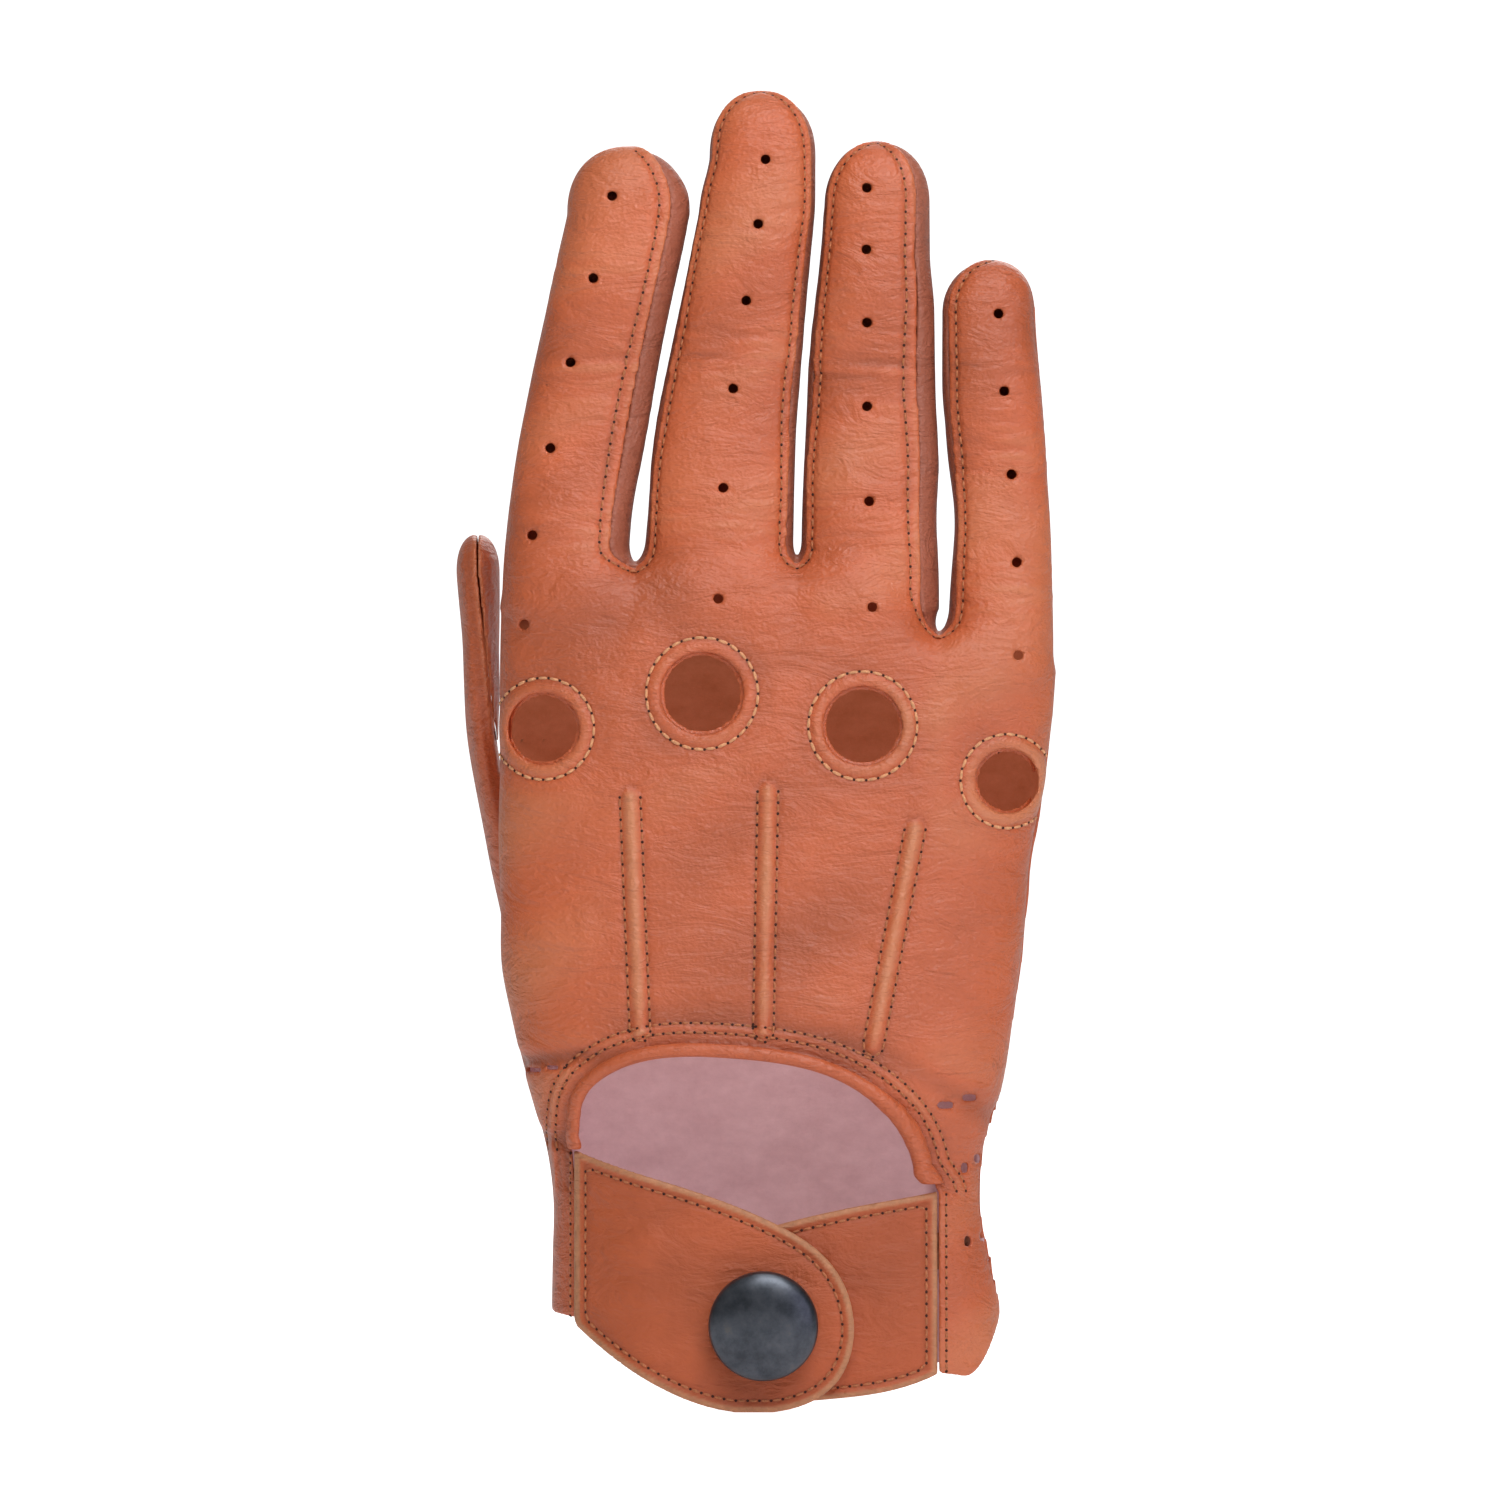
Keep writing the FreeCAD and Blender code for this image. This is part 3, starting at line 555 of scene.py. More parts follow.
class Panel:
    """One sheet of leather as a closed mesh, with the field it came from."""

    def __init__(self, low, high, step, shape):
        self.grid = Grid(low, high, step)
        body, field = shape(self.grid.x, self.grid.y, self.grid.z, self.grid)
        body = np.ascontiguousarray(body, np.float32)
        field = np.ascontiguousarray(field, np.float32)
        places, self.quads = surface_mesh(self.grid, field)
        self.places = settle(self.grid, field, places, self.quads)
        self.normals = vertex_normals(self.places, self.quads)
        self.depth = sample(self.grid, body, self.places)
        self.middles = self.places[self.quads].mean(1)

    def whole(self, name, materials, marks=None):
        """A mesh object of every face."""
        return self.piece(name, np.ones(len(self.quads), bool), materials, marks=marks)

    def piece(self, name, keep, materials, inner=-0.62 * LEATHER, marks=None):
        """A mesh object of the kept faces; the second material goes on the inside."""
        quads = self.quads[keep]
        used, new = np.unique(quads, return_inverse=True)
        faces = new.reshape(quads.shape)
        inside = self.depth[quads].mean(1) < inner
        made = new_mesh_object(name, self.places[used], faces.tolist(), self.normals[used], materials,
                               inside if len(materials) > 1 else None)
        for label, values in (marks or {}).items():
            add_mark(made, label, values[used])
        return made


def add_mark(piece, label, values):
    """Stores one number per point, for the materials to read."""
    mark = piece.data.attributes.new(label, "FLOAT", "POINT")
    mark.data.foreach_set("value", np.asarray(values, np.float32))


def sheet(body, thickness=LEATHER, sunk=0.0):
    """A layer of even thickness under the surface where body is zero."""
    return np.abs(body + sunk + thickness / 2) - thickness / 2


# ------------------------------------------------------------------ where the panels are cut

# How far round each stall the back panel reaches on its two sides, as a share of the half depth
# towards the back (+1) or towards the palm (-1).
BACK_REACH = {
    "index": (-0.45, 0.83),
    "middle": (0.5, 0.58),
    "ring": (0.52, 0.8),
    "little": (0.6, 0.0),
}
PALM_REACH = {
    "index": (-0.45, -0.5),
    "middle": (-0.5, -0.5),
    "ring": (-0.5, -0.5),
    "little": (-0.5, 0.0),
}
# How far towards the palm the back reaches along the two sides of the hand.
LEFT_WRAP = 4.2
RIGHT_WRAP = 0.0


def turn_of(share):
    """Angle round a stall, from the middle of its back, of a place at a share of its half depth."""
    across = (1 - abs(share) ** FINGER_FULLNESS) ** (1 / FINGER_FULLNESS)
    return math.atan2(across, share)


def nearest_stall(values, x, z):
    """Picks, from one value per finger, the one whose stall is nearest."""
    picked = values["little"]
    for first, second in (("ring", "little"), ("middle", "ring"), ("index", "middle")):
        line = (stalls[first].right(z) + stalls[second].left(z)) / 2
        picked = np.where(x < line, values[first], picked)
    return picked


def cut_distance(x, y, z, reach, web_share):
    """Distance past the cut between back and sides (below zero on the back's side)."""
    round_stalls = {}
    for name in FINGERS:
        stall = stalls[name]
        half = (stall.right(z) - stall.left(z)) / 2
        across = x - stall.centre(z)
        turn = np.arctan2(np.abs(across) / half, -y / stall.depth(z))
        left_turn, right_turn = [turn_of(share) for share in reach[name]]
        limit = np.where(across > 0, right_turn, left_turn)
        round_stalls[name] = (turn - limit) * np.hypot(across, y)
    along_stalls = nearest_stall(round_stalls, x, z)
    near_left = smooth_step((stalls["index"].centre(z) + 3 - x) / 6)
    near_right = smooth_step((x - stalls["little"].centre(z) + 3) / 6)
    web = -web_share * ROOT_DEPTH
    level = web + (LEFT_WRAP - web) * near_left + (RIGHT_WRAP - web) * near_right
    above = smooth_step((z - crotch_height(x) + 0.5) / 5)
    return (y - level) * (1 - above) + along_stalls * above


def back_cut(x, y, z):
    return cut_distance(x, y, z, BACK_REACH, 0.55)


def palm_cut(x, y, z):
    return cut_distance(x, y, z, PALM_REACH, -0.5)


# ------------------------------------------------------------------ outlines seen from the front


def outline_distance(outline, x, z):
    """Distance from (x, z) to a closed outline, below zero inside it."""
    nearest = None
    inside = False
    for (ax, az), (bx, bz) in zip(outline, outline[1:] + outline[:1]):
        gap = segment_distance(x, z, (ax, az), (bx, bz))
        nearest = gap if nearest is None else np.minimum(nearest, gap)
        if az != bz:
            crosses = ((az > z) != (bz > z)) & (x < ax + (z - az) / (bz - az) * (bx - ax))
            inside = inside ^ crosses
    return np.where(inside, -nearest, nearest)


def node_outline(node, count=44):
    """The front outline of a CAD node that has one left and one right edge at every height."""
    low, high = node_box(node)
    shares = (1 - np.cos(np.linspace(0.04, 0.97, count) * math.pi)) / 2
    heights = low[2] + shares * (high[2] - low[2])
    rows = [slice_extent([node], height) for height in heights]
    left = [(row[0], height) for row, height in zip(rows, heights)]
    right = [(row[1], height) for row, height in zip(rows, heights)]
    return left + right[::-1]


def binding_path():
    """Middle line of the rolled binding in the front view, from its left end over to its right end."""
    places, _ = node_mesh("opening_binding")
    low, high = node_box("opening_binding")
    hub = np.array([(low[0] + high[0]) / 2, low[2] - 3.0])
    arms = places[:, (0, 2)] - hub
    turns = np.arctan2(arms[:, 1], arms[:, 0])
    reach = np.hypot(arms[:, 0], arms[:, 1])
    found_turns = []
    found_reach = []
    bins = np.linspace(turns.min(), turns.max(), 41)
    for lower, upper in zip(bins, bins[1:]):
        group = reach[(turns >= lower) & (turns <= upper)]
        if len(group) > 3 and group.max() - group.min() > 2.4:
            found_turns.append((lower + upper) / 2)
            found_reach.append((group.max() + group.min()) / 2)
    even_turns = np.linspace(turns.min() + 0.02, turns.max() - 0.02, 60)
    even_reach = np.interp(even_turns, found_turns, found_reach)
    for _ in range(6):
        even_reach[1:-1] = (even_reach[:-2] + 2 * even_reach[1:-1] + even_reach[2:]) / 4
    path = []
    for turn, length in zip(even_turns, even_reach):
        across = hub[0] + length * math.cos(turn)
        height = hub[1] + length * math.sin(turn)
        inwards = 1.3 if across < hub[0] else 0.3
        path.append((across + inwards * float(smooth_step((56 - height) / 9)), height))
    return path[::-1]


binding_line = binding_path()
strap_outline = node_outline("strap_leather")
under_outline = node_outline("under_strap")
strap_seam_x = node_box("strap_leather")[0][0]
under_seam_x = node_box("under_strap")[1][0]
opening_outline = (
    [(strap_seam_x + 0.6, -30.0), (strap_seam_x + 0.6, binding_line[0][1] - 6.0)]
    + binding_line
    + [(under_seam_x + 0.1, binding_line[-1][1] - 4.0), (under_seam_x + 0.1, -30.0)]
)


def opening_distance(x, z):
    """Distance outside the middle line of the wrist opening's edge."""
    return outline_distance(opening_outline, x, z)


def hem_distance(x, z):
    """Distance above the lower edge of the cuff, which slopes and has a round corner at the right."""
    low_left = node_box("hand_palm")[0][2] + 11.4
    slope = 0.15
    corner = 0.26 * np.maximum(x - (hand_right(20.0) - 6.0), 0) ** 2
    return (z - (low_left - slope * (x - hand_left(20.0)) + corner)) / 1.15


# ------------------------------------------------------------------ relief of the back

# Distances of the rows of stitches from the panel's edge, the hole's edge, the middle of the
# binding, and the middle of a raised point.
CUT_ROW = 1.9
HOLE_ROW = 2.6
BINDING_ROWS = (3.1, 4.7)
POINT_ROW = 1.75


def groove(distance, width=0.5):
    """A narrow valley, 1 deep, where distance is zero."""
    return np.exp(-(distance / width) ** 2)


def point_distance(name, x, z):
    return segment_distance(x, z, *points[name])


def inner_sides(x, z):
    """1 between the seams of the fingers, 0 along the two outer edges of the glove."""
    left = stalls["index"].centre(z)
    right = stalls["little"].centre(z)
    return smooth_step((x - left) / 2) * smooth_step((right + 2 - x) / 2)


def back_relief(x, y, z, cut):
    """How far the back sinks below its smooth shape: creases, rows of stitches and rolled edges."""
    sink = back_creases(x, z)
    seams = inner_sides(x, z) * smooth_step((z - crotch_height(x) + 12) / 8)
    right_seam = smooth_step((x - stalls["little"].centre(z)) / 3)
    sink = sink + (0.34 * groove(cut + CUT_ROW) - 0.16 * groove(cut + 0.8, 0.7)) * seams
    sink = sink + 0.2 * groove(cut + CUT_ROW) * right_seam * (1 - seams)
    for name in FINGERS:
        away = hole_distance(name, x, z)
        sink = sink + 0.3 * groove(away - HOLE_ROW) - 0.22 * groove(away - 1.1, 0.8)
        sink = sink + 0.12 * groove(away - 4.2, 1.2)
    edge = opening_distance(x, z)
    high = smooth_step((z - binding_line[-1][1] + 6) / 4)
    for row in BINDING_ROWS:
        sink = sink + 0.28 * groove(edge - row) * high
    sink = sink - 0.25 * groove(edge - 3.9, 0.6) * high + 0.5 * groove(edge - 1.6, 0.7) * high
    for name in points:
        away = point_distance(name, x, z)
        low = points[name][0][1]
        fade = smooth_step((z - low + 3) / 3)
        sink = sink + (0.3 * groove(away - POINT_ROW) - 0.75 * groove(away, 1.15)) * fade
    crease = binding_line[0][1]
    slant = z - (crease + 12.5) - 0.12 * (x - hand_left(50.0))
    left_side = smooth_step((hand_left(50.0) + 17 - x) / 10)
    sink = sink + 0.9 * groove(slant, 1.5) * left_side
    sink = sink + 0.6 * groove(z - crease + 0.5 + 0.2 * (x - hand_left(45.0)), 1.3) * left_side
    shelf = z - crotch_dip(x)
    sink = sink + 0.45 * groove(shelf, 2.6) * smooth_step((x - hand_left(50.0) - 6) / 10)
    return sink


def crotch_dip(x):
    """Height of the long soft crease that runs just above the binding."""
    top = max(place[1] for place in binding_line)
    centre = [place[0] for place in binding_line if place[1] == top][0]
    return top + 5.5 - 0.0065 * (x - centre) ** 2


def glove_body(x, y, z, grid):
    """Distance to the smooth outside of the glove."""
    return even_distance(grid, glove_field(x, y, z))


# The small round holes along each finger: how many, how far the first is below the fingertip and the
# last above the knuckle hole, how far they sit sideways of the middle at both ends, and how much
# closer they are towards the tip.
PERFORATIONS = {
    "index": (6, 8.8, 17.8, -3.0, -6.9, 0.05),
    "middle": (6, 12.1, 16.1, 0.6, 0.2, 0.33),
    "ring": (6, 8.4, 20.2, -1.9, 0.3, 0.33),
    "little": (5, 9.5, 21.4, 1.7, 2.9, 0.12),
}
PERFORATION_RADIUS = 0.85


def perforation_places():
    places = []
    for name, (count, below_top, above_hole, side_top, side_low, closer) in PERFORATIONS.items():
        high = stalls[name].top - below_top
        low = holes[name]["centre"][1] + above_hole
        for index in range(count):
            share = index / (count - 1)
            share = share - closer * share * (1 - share)
            height = high + (low - high) * share
            side = side_top + (side_low - side_top) * share
            places.append((float(stalls[name].centre(height)) + side, height))
    return places


def slits():
    """Short cuts at both sides of the wrist, as (across, up, half length across, half height)."""
    right = [(28.7, 52.0, 1.4, 0.55), (32.8, 53.2, 1.2, 0.55), (32.0, 41.2, 0.55, 0.9),
             (34.2, 42.7, 0.5, 0.8), (32.5, 28.7, 0.5, 0.9), (35.2, 29.4, 0.5, 0.8)]
    left = [(-41.4, 57.8, 1.6, 0.3), (-38.0, 58.3, 1.2, 0.3)]
    return right + left


def punched(field, x, y, z):
    """Cuts the small round holes and the wrist slits through a sheet, on the back only."""
    cuts = -1e3
    for across, height in perforation_places():
        cuts = np.maximum(cuts, PERFORATION_RADIUS - np.hypot(x - across, z - height))
    for across, height, half_across, half_height in slits():
        round_end = min(half_across, half_height)
        reach_x = np.maximum(np.abs(x - across) - (half_across - round_end), 0)
        reach_z = np.maximum(np.abs(z - height) - (half_height - round_end), 0)
        cuts = np.maximum(cuts, round_end - np.hypot(reach_x, reach_z))
    return np.maximum(field, np.minimum(cuts, -3.0 - y))


# ------------------------------------------------------------------ the panels


def opening_edge(x, z):
    """Where the back ends at the wrist: inside the binding's roll, and level with the side seams."""
    rolled = smooth_step((z - binding_line[-1][1] + 4) / 3)
    return opening_distance(x, z) - 0.5 * rolled


def back_shape(x, y, z, grid):
    cut = back_cut(x, y, z)
    towards_back = smooth_step((1.0 - y) / 4)
    body = glove_body(x, y, z, grid) + back_relief(x, y, z, cut) * towards_back
    field = sheet(body)
    field = smooth_max(field, cut + SEAM_GAP / 2, EDGE_ROUND)
    field = smooth_max(field, -opening_edge(x, z), EDGE_ROUND)
    for name in FINGERS:
        field = smooth_max(field, -hole_distance(name, x, z), EDGE_ROUND)
    field = smooth_max(field, -hem_distance(x, z), EDGE_ROUND)
    return body, punched(field, x, y, z)


def palm_shape(x, y, z, grid):
    cut = palm_cut(x, y, z)
    soft = 0.3 * waves(31, 8, 12.0, 14.0, x, z) + 0.1 * waves(37, 9, 5.0, 3.0, x, z)
    body = glove_body(x, y, z, grid) + soft
    field = sheet(body)
    field = smooth_max(field, SEAM_GAP / 2 - cut, EDGE_ROUND)
    field = smooth_max(field, -hem_distance(x, z), EDGE_ROUND)
    return body, field


def side_shape(first, second):
    """Field of the strip between two fingers, tucked a little under the panels on both sides."""
    def shape(x, y, z, grid):
        soft = 0.12 * waves(41 + len(first), 8, 4.0, 5.0, x, z, y)
        body = glove_body(x, y, z, grid) + soft + 0.4
        field = sheet(body, LEATHER * 0.85)
        field = smooth_max(field, SEAM_GAP / 2 - back_cut(x, y, z), EDGE_ROUND)
        field = smooth_max(field, palm_cut(x, y, z) + SEAM_GAP / 2, EDGE_ROUND)
        field = smooth_max(field, stalls[first].centre(z) + 0.05 - x, 0.2)
        field = smooth_max(field, x - stalls[second].centre(z) + 0.05, 0.2)
        return body, field
    return shape


right_edge = float(cad_high[0] / MM)
highest = float(cad_high[2] / MM)
HAND_LEFT = float(hand_left(100.0))
BACK_DEPTH = min(row[2] for row in hand_rows)
PALM_DEPTH = max(row[3] for row in hand_rows)

back = Panel((HAND_LEFT - 3, BACK_DEPTH - 3, 2), (right_edge + 2, 7, highest + 2), FINE_STEP, back_shape)
palm = Panel((HAND_LEFT - 3, -3, 2), (right_edge + 2, PALM_DEPTH + 3, highest + 2), COARSE_STEP, palm_shape)
sides = {}
for first, second in webs:
    low = stalls[first].crotch - 14
    left = min(float(stalls[first].centre(z)) for z in (low, highest)) - 2
    right = max(float(stalls[second].centre(z)) for z in (low, highest)) + 2
    top = max(stalls[first].top, stalls[second].top)
    sides[(first, second)] = Panel(
        (left, -ROOT_DEPTH - 1, min(low, stalls[second].crotch - 14)), (right, ROOT_DEPTH + 1, top + 1),
        SIDE_STEP, side_shape(first, second))


def facing_shape(name):
    """A ring of leather glued under one knuckle hole; its raw edge stands a little inside the hole."""
    def shape(x, y, z, grid):
        body = glove_body(x, y, z, grid)
        away = hole_distance(name, x, z)
        field = sheet(body, 0.8, LEATHER + 0.1)
        field = smooth_max(field, -(away + 0.55), 0.25)
        field = smooth_max(field, away - (holes[name]["outer"] - holes[name]["radius"]), 0.3)
        return body, np.maximum(field, y + 2.0)
    return shape


facings = {}
for name in FINGERS:
    across, height = holes[name]["centre"]
    reach = holes[name]["outer"] + 1.5
    low = (across - reach, BACK_DEPTH - 1, height - reach)
    high = (across + reach, 0, height + reach)
    facings[name] = Panel(low, high, FINE_STEP, facing_shape(name))

BINDING_RADIUS = 1.2


def binding_shape(x, y, z, grid):
    """The roll round the wrist opening: thicker and wrinkled along its two sides."""
    body = glove_body(x, y, z, grid)
    top = max(place[1] for place in binding_line)
    aside = smooth_step((top - 4 - z) / 9)
    ripple = 0.09 * waves(53, 9, 1.6, 0.55, x, z) * aside
    radius = BINDING_RADIUS + 0.5 * aside * smooth_step((x + 5) / 10) + ripple
    field = np.hypot(opening_distance(x, z) - 0.15, body + 0.1) - radius
    left_end = binding_line[0][1]
    right_end = binding_line[-1][1]
    low_end = right_end - 2.5 + (left_end - right_end) * smooth_step((8 - x) / 16)
    return body, smooth_max(field, low_end - z, 0.4)


BINDING_STEP = 0.42
binding_low = (binding_line[0][0] - 5, BACK_DEPTH - 4, min(place[1] for place in binding_line) - 6)
binding_high = (binding_line[-1][0] + 6, -8, max(place[1] for place in binding_line) + 4)
binding = Panel(binding_low, binding_high, BINDING_STEP, binding_shape)

# ------------------------------------------------------------------ straps

strap_low, strap_high = node_box("strap_leather")
under_low, under_high = node_box("under_strap")
STRAP_LEATHER = 0.9  # half the thickness of the strap
STRAP_SPLIT = 0.75  # height, above the strap's inside, where its two layers meet
STRAP_ROW = 2.0  # of stitches, from the strap's edge
STRAP_LIFT = 1.7  # of the strap's inside above the glove


def strap_lift(x):
    """Height of the strap's inside above the glove: it comes out from under the cuff at its seam."""
    return STRAP_LIFT - (STRAP_LIFT + 1.5) * (1 - smooth_step((x - strap_seam_x + 1) / 14))


def strap_relief(edge, x, z, seed):
    """Row of stitches, raised raw band outside it, and soft wrinkles."""
    sink = 0.3 * groove(edge + STRAP_ROW) - 0.1 * groove(edge + 0.9, 0.7)
    sink = sink + 0.12 * waves(seed, 8, 7.0, 5.0, x, z)
    return sink


def strap_shape(low, high):
    """One layer of the strap, between two heights above its inside."""
    def shape(x, y, z, grid):
        edge = outline_distance(strap_outline, x, z)
        body = even_distance(grid, hand_field(x, y, z)) - strap_lift(x) + strap_relief(edge, x, z, 61)
        field = np.abs(body - (low + high) / 2) - (high - low) / 2
        field = smooth_max(field, edge, 0.35)
        return body, np.maximum(field, y + 4)
    return shape


def under_shape(x, y, z, grid):
    edge = outline_distance(under_outline, x, z)
    wrinkles = waves(67, 12, 2.6, 1.0, x, z) * smooth_step((z - 20) / 14)
    body = even_distance(grid, hand_field(x, y, z)) + 0.1 * wrinkles + strap_relief(edge, x, z, 71)
    field = np.abs(body + 0.8) - 0.8
    field = smooth_max(field, edge + 0.1, 0.4)
    return body, np.maximum(field, y + 4)


strap_step = 0.45
strap_front = strap_low[1] - 3
strap = Panel((strap_seam_x - 2, strap_front, -2), (strap_high[0] + 2, -6, strap_high[2] + 2),
              strap_step, strap_shape(STRAP_SPLIT, 2 * STRAP_LEATHER))
backing = Panel((strap_seam_x - 2, strap_front, -2), (strap_high[0] + 2, -6, strap_high[2] + 2),
                strap_step, strap_shape(-0.1, STRAP_SPLIT - 0.04))
under = Panel((under_low[0] - 2, under_low[1] - 3, -2), (under_high[0] + 2, -6, under_high[2] + 2),
              strap_step, under_shape)


def elastic_shape(x, y, z, grid):
    """A ribbed woven band inside the palm side of the wrist."""
    low, high = node_box("wrist_elastic")
    ribs = 0.1 * np.cos(2 * math.pi * (z - low[2]) / 1.4)
    body = even_distance(grid, hand_field(x, y, z)) + 0.4 + ribs
    field = sheet(body, 0.8, LEATHER + 0.2)
    field = smooth_max(field, np.abs(z - (low[2] + high[2]) / 2) - (high[2] - low[2]) / 2, 0.3)
    return body, np.maximum(field, low[1] + 1 - y)


elastic_low, elastic_high = node_box("wrist_elastic")
elastic = Panel(elastic_low - 3, elastic_high + 3, SIDE_STEP, elastic_shape)

# ------------------------------------------------------------------ thumb

THUMB_NODES = [n for n in frame["nodes"] if n.startswith("thumb")]
thumb_low, thumb_high = node_box(*THUMB_NODES)
THUMB_FULLNESS = 2.3
thumb_cap_start = thumb_high[2] - 6.5
thumb_heights = list(np.linspace(thumb_low[2] + 6, thumb_cap_start - 0.6, 9))
thumb_rows = [slice_extent(THUMB_NODES, height) for height in thumb_heights]
thumb_left = smooth_curve(thumb_heights, [row[0] for row in thumb_rows])
thumb_right = smooth_curve(
    thumb_heights,
    [max(row[1], row[0] + 8.0) if height < thumb_cap_start - 45 else row[1]
     for row, height in zip(thumb_rows, thumb_heights)])
thumb_front = smooth_curve(thumb_heights, [row[2] for row in thumb_rows])
thumb_back = smooth_curve(thumb_heights, [row[3] for row in thumb_rows])
THUMB_BASE = joints["thumb_swing"]["pos_m"][2] / MM


def thumb_seam(z):
    """Where the seam up the front edge of the thumb lies, across."""
    return thumb_left(z) + 3.7 + 0.035 * np.maximum(thumb_high[2] - z, 0)


def thumb_field(x, y, z):
    half = (thumb_right(z) - thumb_left(z)) / 2
    depth = (thumb_back(z) - thumb_front(z)) / 2
    across = np.abs(x - (thumb_left(z) + thumb_right(z)) / 2) / half
    along = np.abs(y - (thumb_back(z) + thumb_front(z)) / 2) / depth
    ring = (across ** THUMB_FULLNESS + along ** THUMB_FULLNESS) ** (1 / THUMB_FULLNESS)
    cap = np.maximum(z - thumb_cap_start, 0) / (thumb_high[2] - thumb_cap_start)
    root = np.maximum(thumb_low[2] + 5 - z, 0)
    return ((ring ** CAP_FULLNESS + cap ** CAP_FULLNESS) ** (1 / CAP_FULLNESS) - 1) * half + 0.5 * root


def thumb_shape(side):
    """One leaf of the thumb: side -1 is the outer leaf, +1 the leaf next to the hand."""
    def shape(x, y, z, grid):
        seam = x - thumb_seam(z)
        soft = 0.2 * waves(83, 9, 4.0, 6.0, x, z, y)
        ridge = (0.25 * groove(np.abs(seam) - 1.5) - 0.5 * groove(seam, 0.9)) * smooth_step((14 - y) / 5)
        body = even_distance(grid, thumb_field(x, y, z)) + soft + ridge
        hand = even_distance(grid, hand_field(x, y, z))
        field = sheet(body)
        field = smooth_max(field, SEAM_GAP / 2 - side * seam, EDGE_ROUND)
        field = smooth_max(field, 0.15 - hand, EDGE_ROUND)
        return body, field
    return shape


thumb_reach_low = (thumb_low[0] - 3, thumb_low[1] - 3, thumb_low[2] - 3)
thumb_reach_high = (HAND_LEFT + 10, thumb_high[1] + 3, thumb_high[2] + 3)
thumb = {
    "outer": Panel(thumb_reach_low, thumb_reach_high, SIDE_STEP * 0.85, thumb_shape(-1)),
    "inner": Panel(thumb_reach_low, thumb_reach_high, SIDE_STEP * 0.85, thumb_shape(1)),
}

# ------------------------------------------------------------------ rows of stitches


def rows_on(panel, values, keep):
    """Lines on a panel's surface where values are zero, as lists of (place, normal)."""
    quads = panel.quads
    corner_values = values[quads]
    crossed = (corner_values.min(1) < 0) & (corner_values.max(1) >= 0) & keep[quads].all(1)
    spots = {}
    links = {}
    for quad in quads[crossed]:
        for triangle in ((quad[0], quad[1], quad[2]), (quad[0], quad[2], quad[3])):
            found = []
            for a, b in zip(triangle, triangle[1:] + triangle[:1]):
                if (values[a] < 0) == (values[b] < 0):
                    continue
                key = (min(a, b), max(a, b))
                share = values[key[0]] / (values[key[0]] - values[key[1]])
                spots[key] = (
                    panel.places[key[0]] + share * (panel.places[key[1]] - panel.places[key[0]]),
                    panel.normals[key[0]] + share * (panel.normals[key[1]] - panel.normals[key[0]]),
                )
                found.append(key)
            if len(found) == 2:
                links.setdefault(found[0], []).append(found[1])
                links.setdefault(found[1], []).append(found[0])
    chains = []
    left_over = set(links)
    starts = [key for key in links if len(links[key]) == 1] + list(links)
    for start in starts:
        if start not in left_over:
            continue
        chain = [start]
        left_over.discard(start)
        while True:
            onward = [key for key in links[chain[-1]] if key in left_over]
            if not onward:
                break
            chain.append(onward[0])
            left_over.discard(onward[0])
        closed = len(chain) > 8 and chain[0] in links[chain[-1]]
        chains.append([spots[key] for key in chain] + ([spots[chain[0]]] if closed else []))
    return chains


def evenly(chain, spacing):
    """Places and normals at even steps along a chain."""
    places = np.array([spot[0] for spot in chain])
    normals = np.array([spot[1] for spot in chain])
    for _ in range(3):
        places[1:-1] = (places[:-2] + 2 * places[1:-1] + places[2:]) / 4
        normals[1:-1] = (normals[:-2] + 2 * normals[1:-1] + normals[2:]) / 4
    run = np.concatenate([[0], np.cumsum(np.linalg.norm(np.diff(places, axis=0), axis=1))])
    count = int(round(run[-1] / spacing))
    if count < 1:
        return None
    marks = np.linspace(0, run[-1], count + 1)
    even_places = np.stack([np.interp(marks, run, places[:, i]) for i in range(3)], axis=1)
    even_normals = np.stack([np.interp(marks, run, normals[:, i]) for i in range(3)], axis=1)
    return even_places, even_normals / np.linalg.norm(even_normals, axis=1)[:, None]


THREAD_RINGS = 5
THREAD_SIDES = 6
HOLE_SIDES = 8
# A needle hole is drawn as a small near-black cap: painted shade for the hole.
NEEDLE_HOLE = ((0.34, -0.12), (0.22, 0.07))  # radius and height of its foot and of its dark top


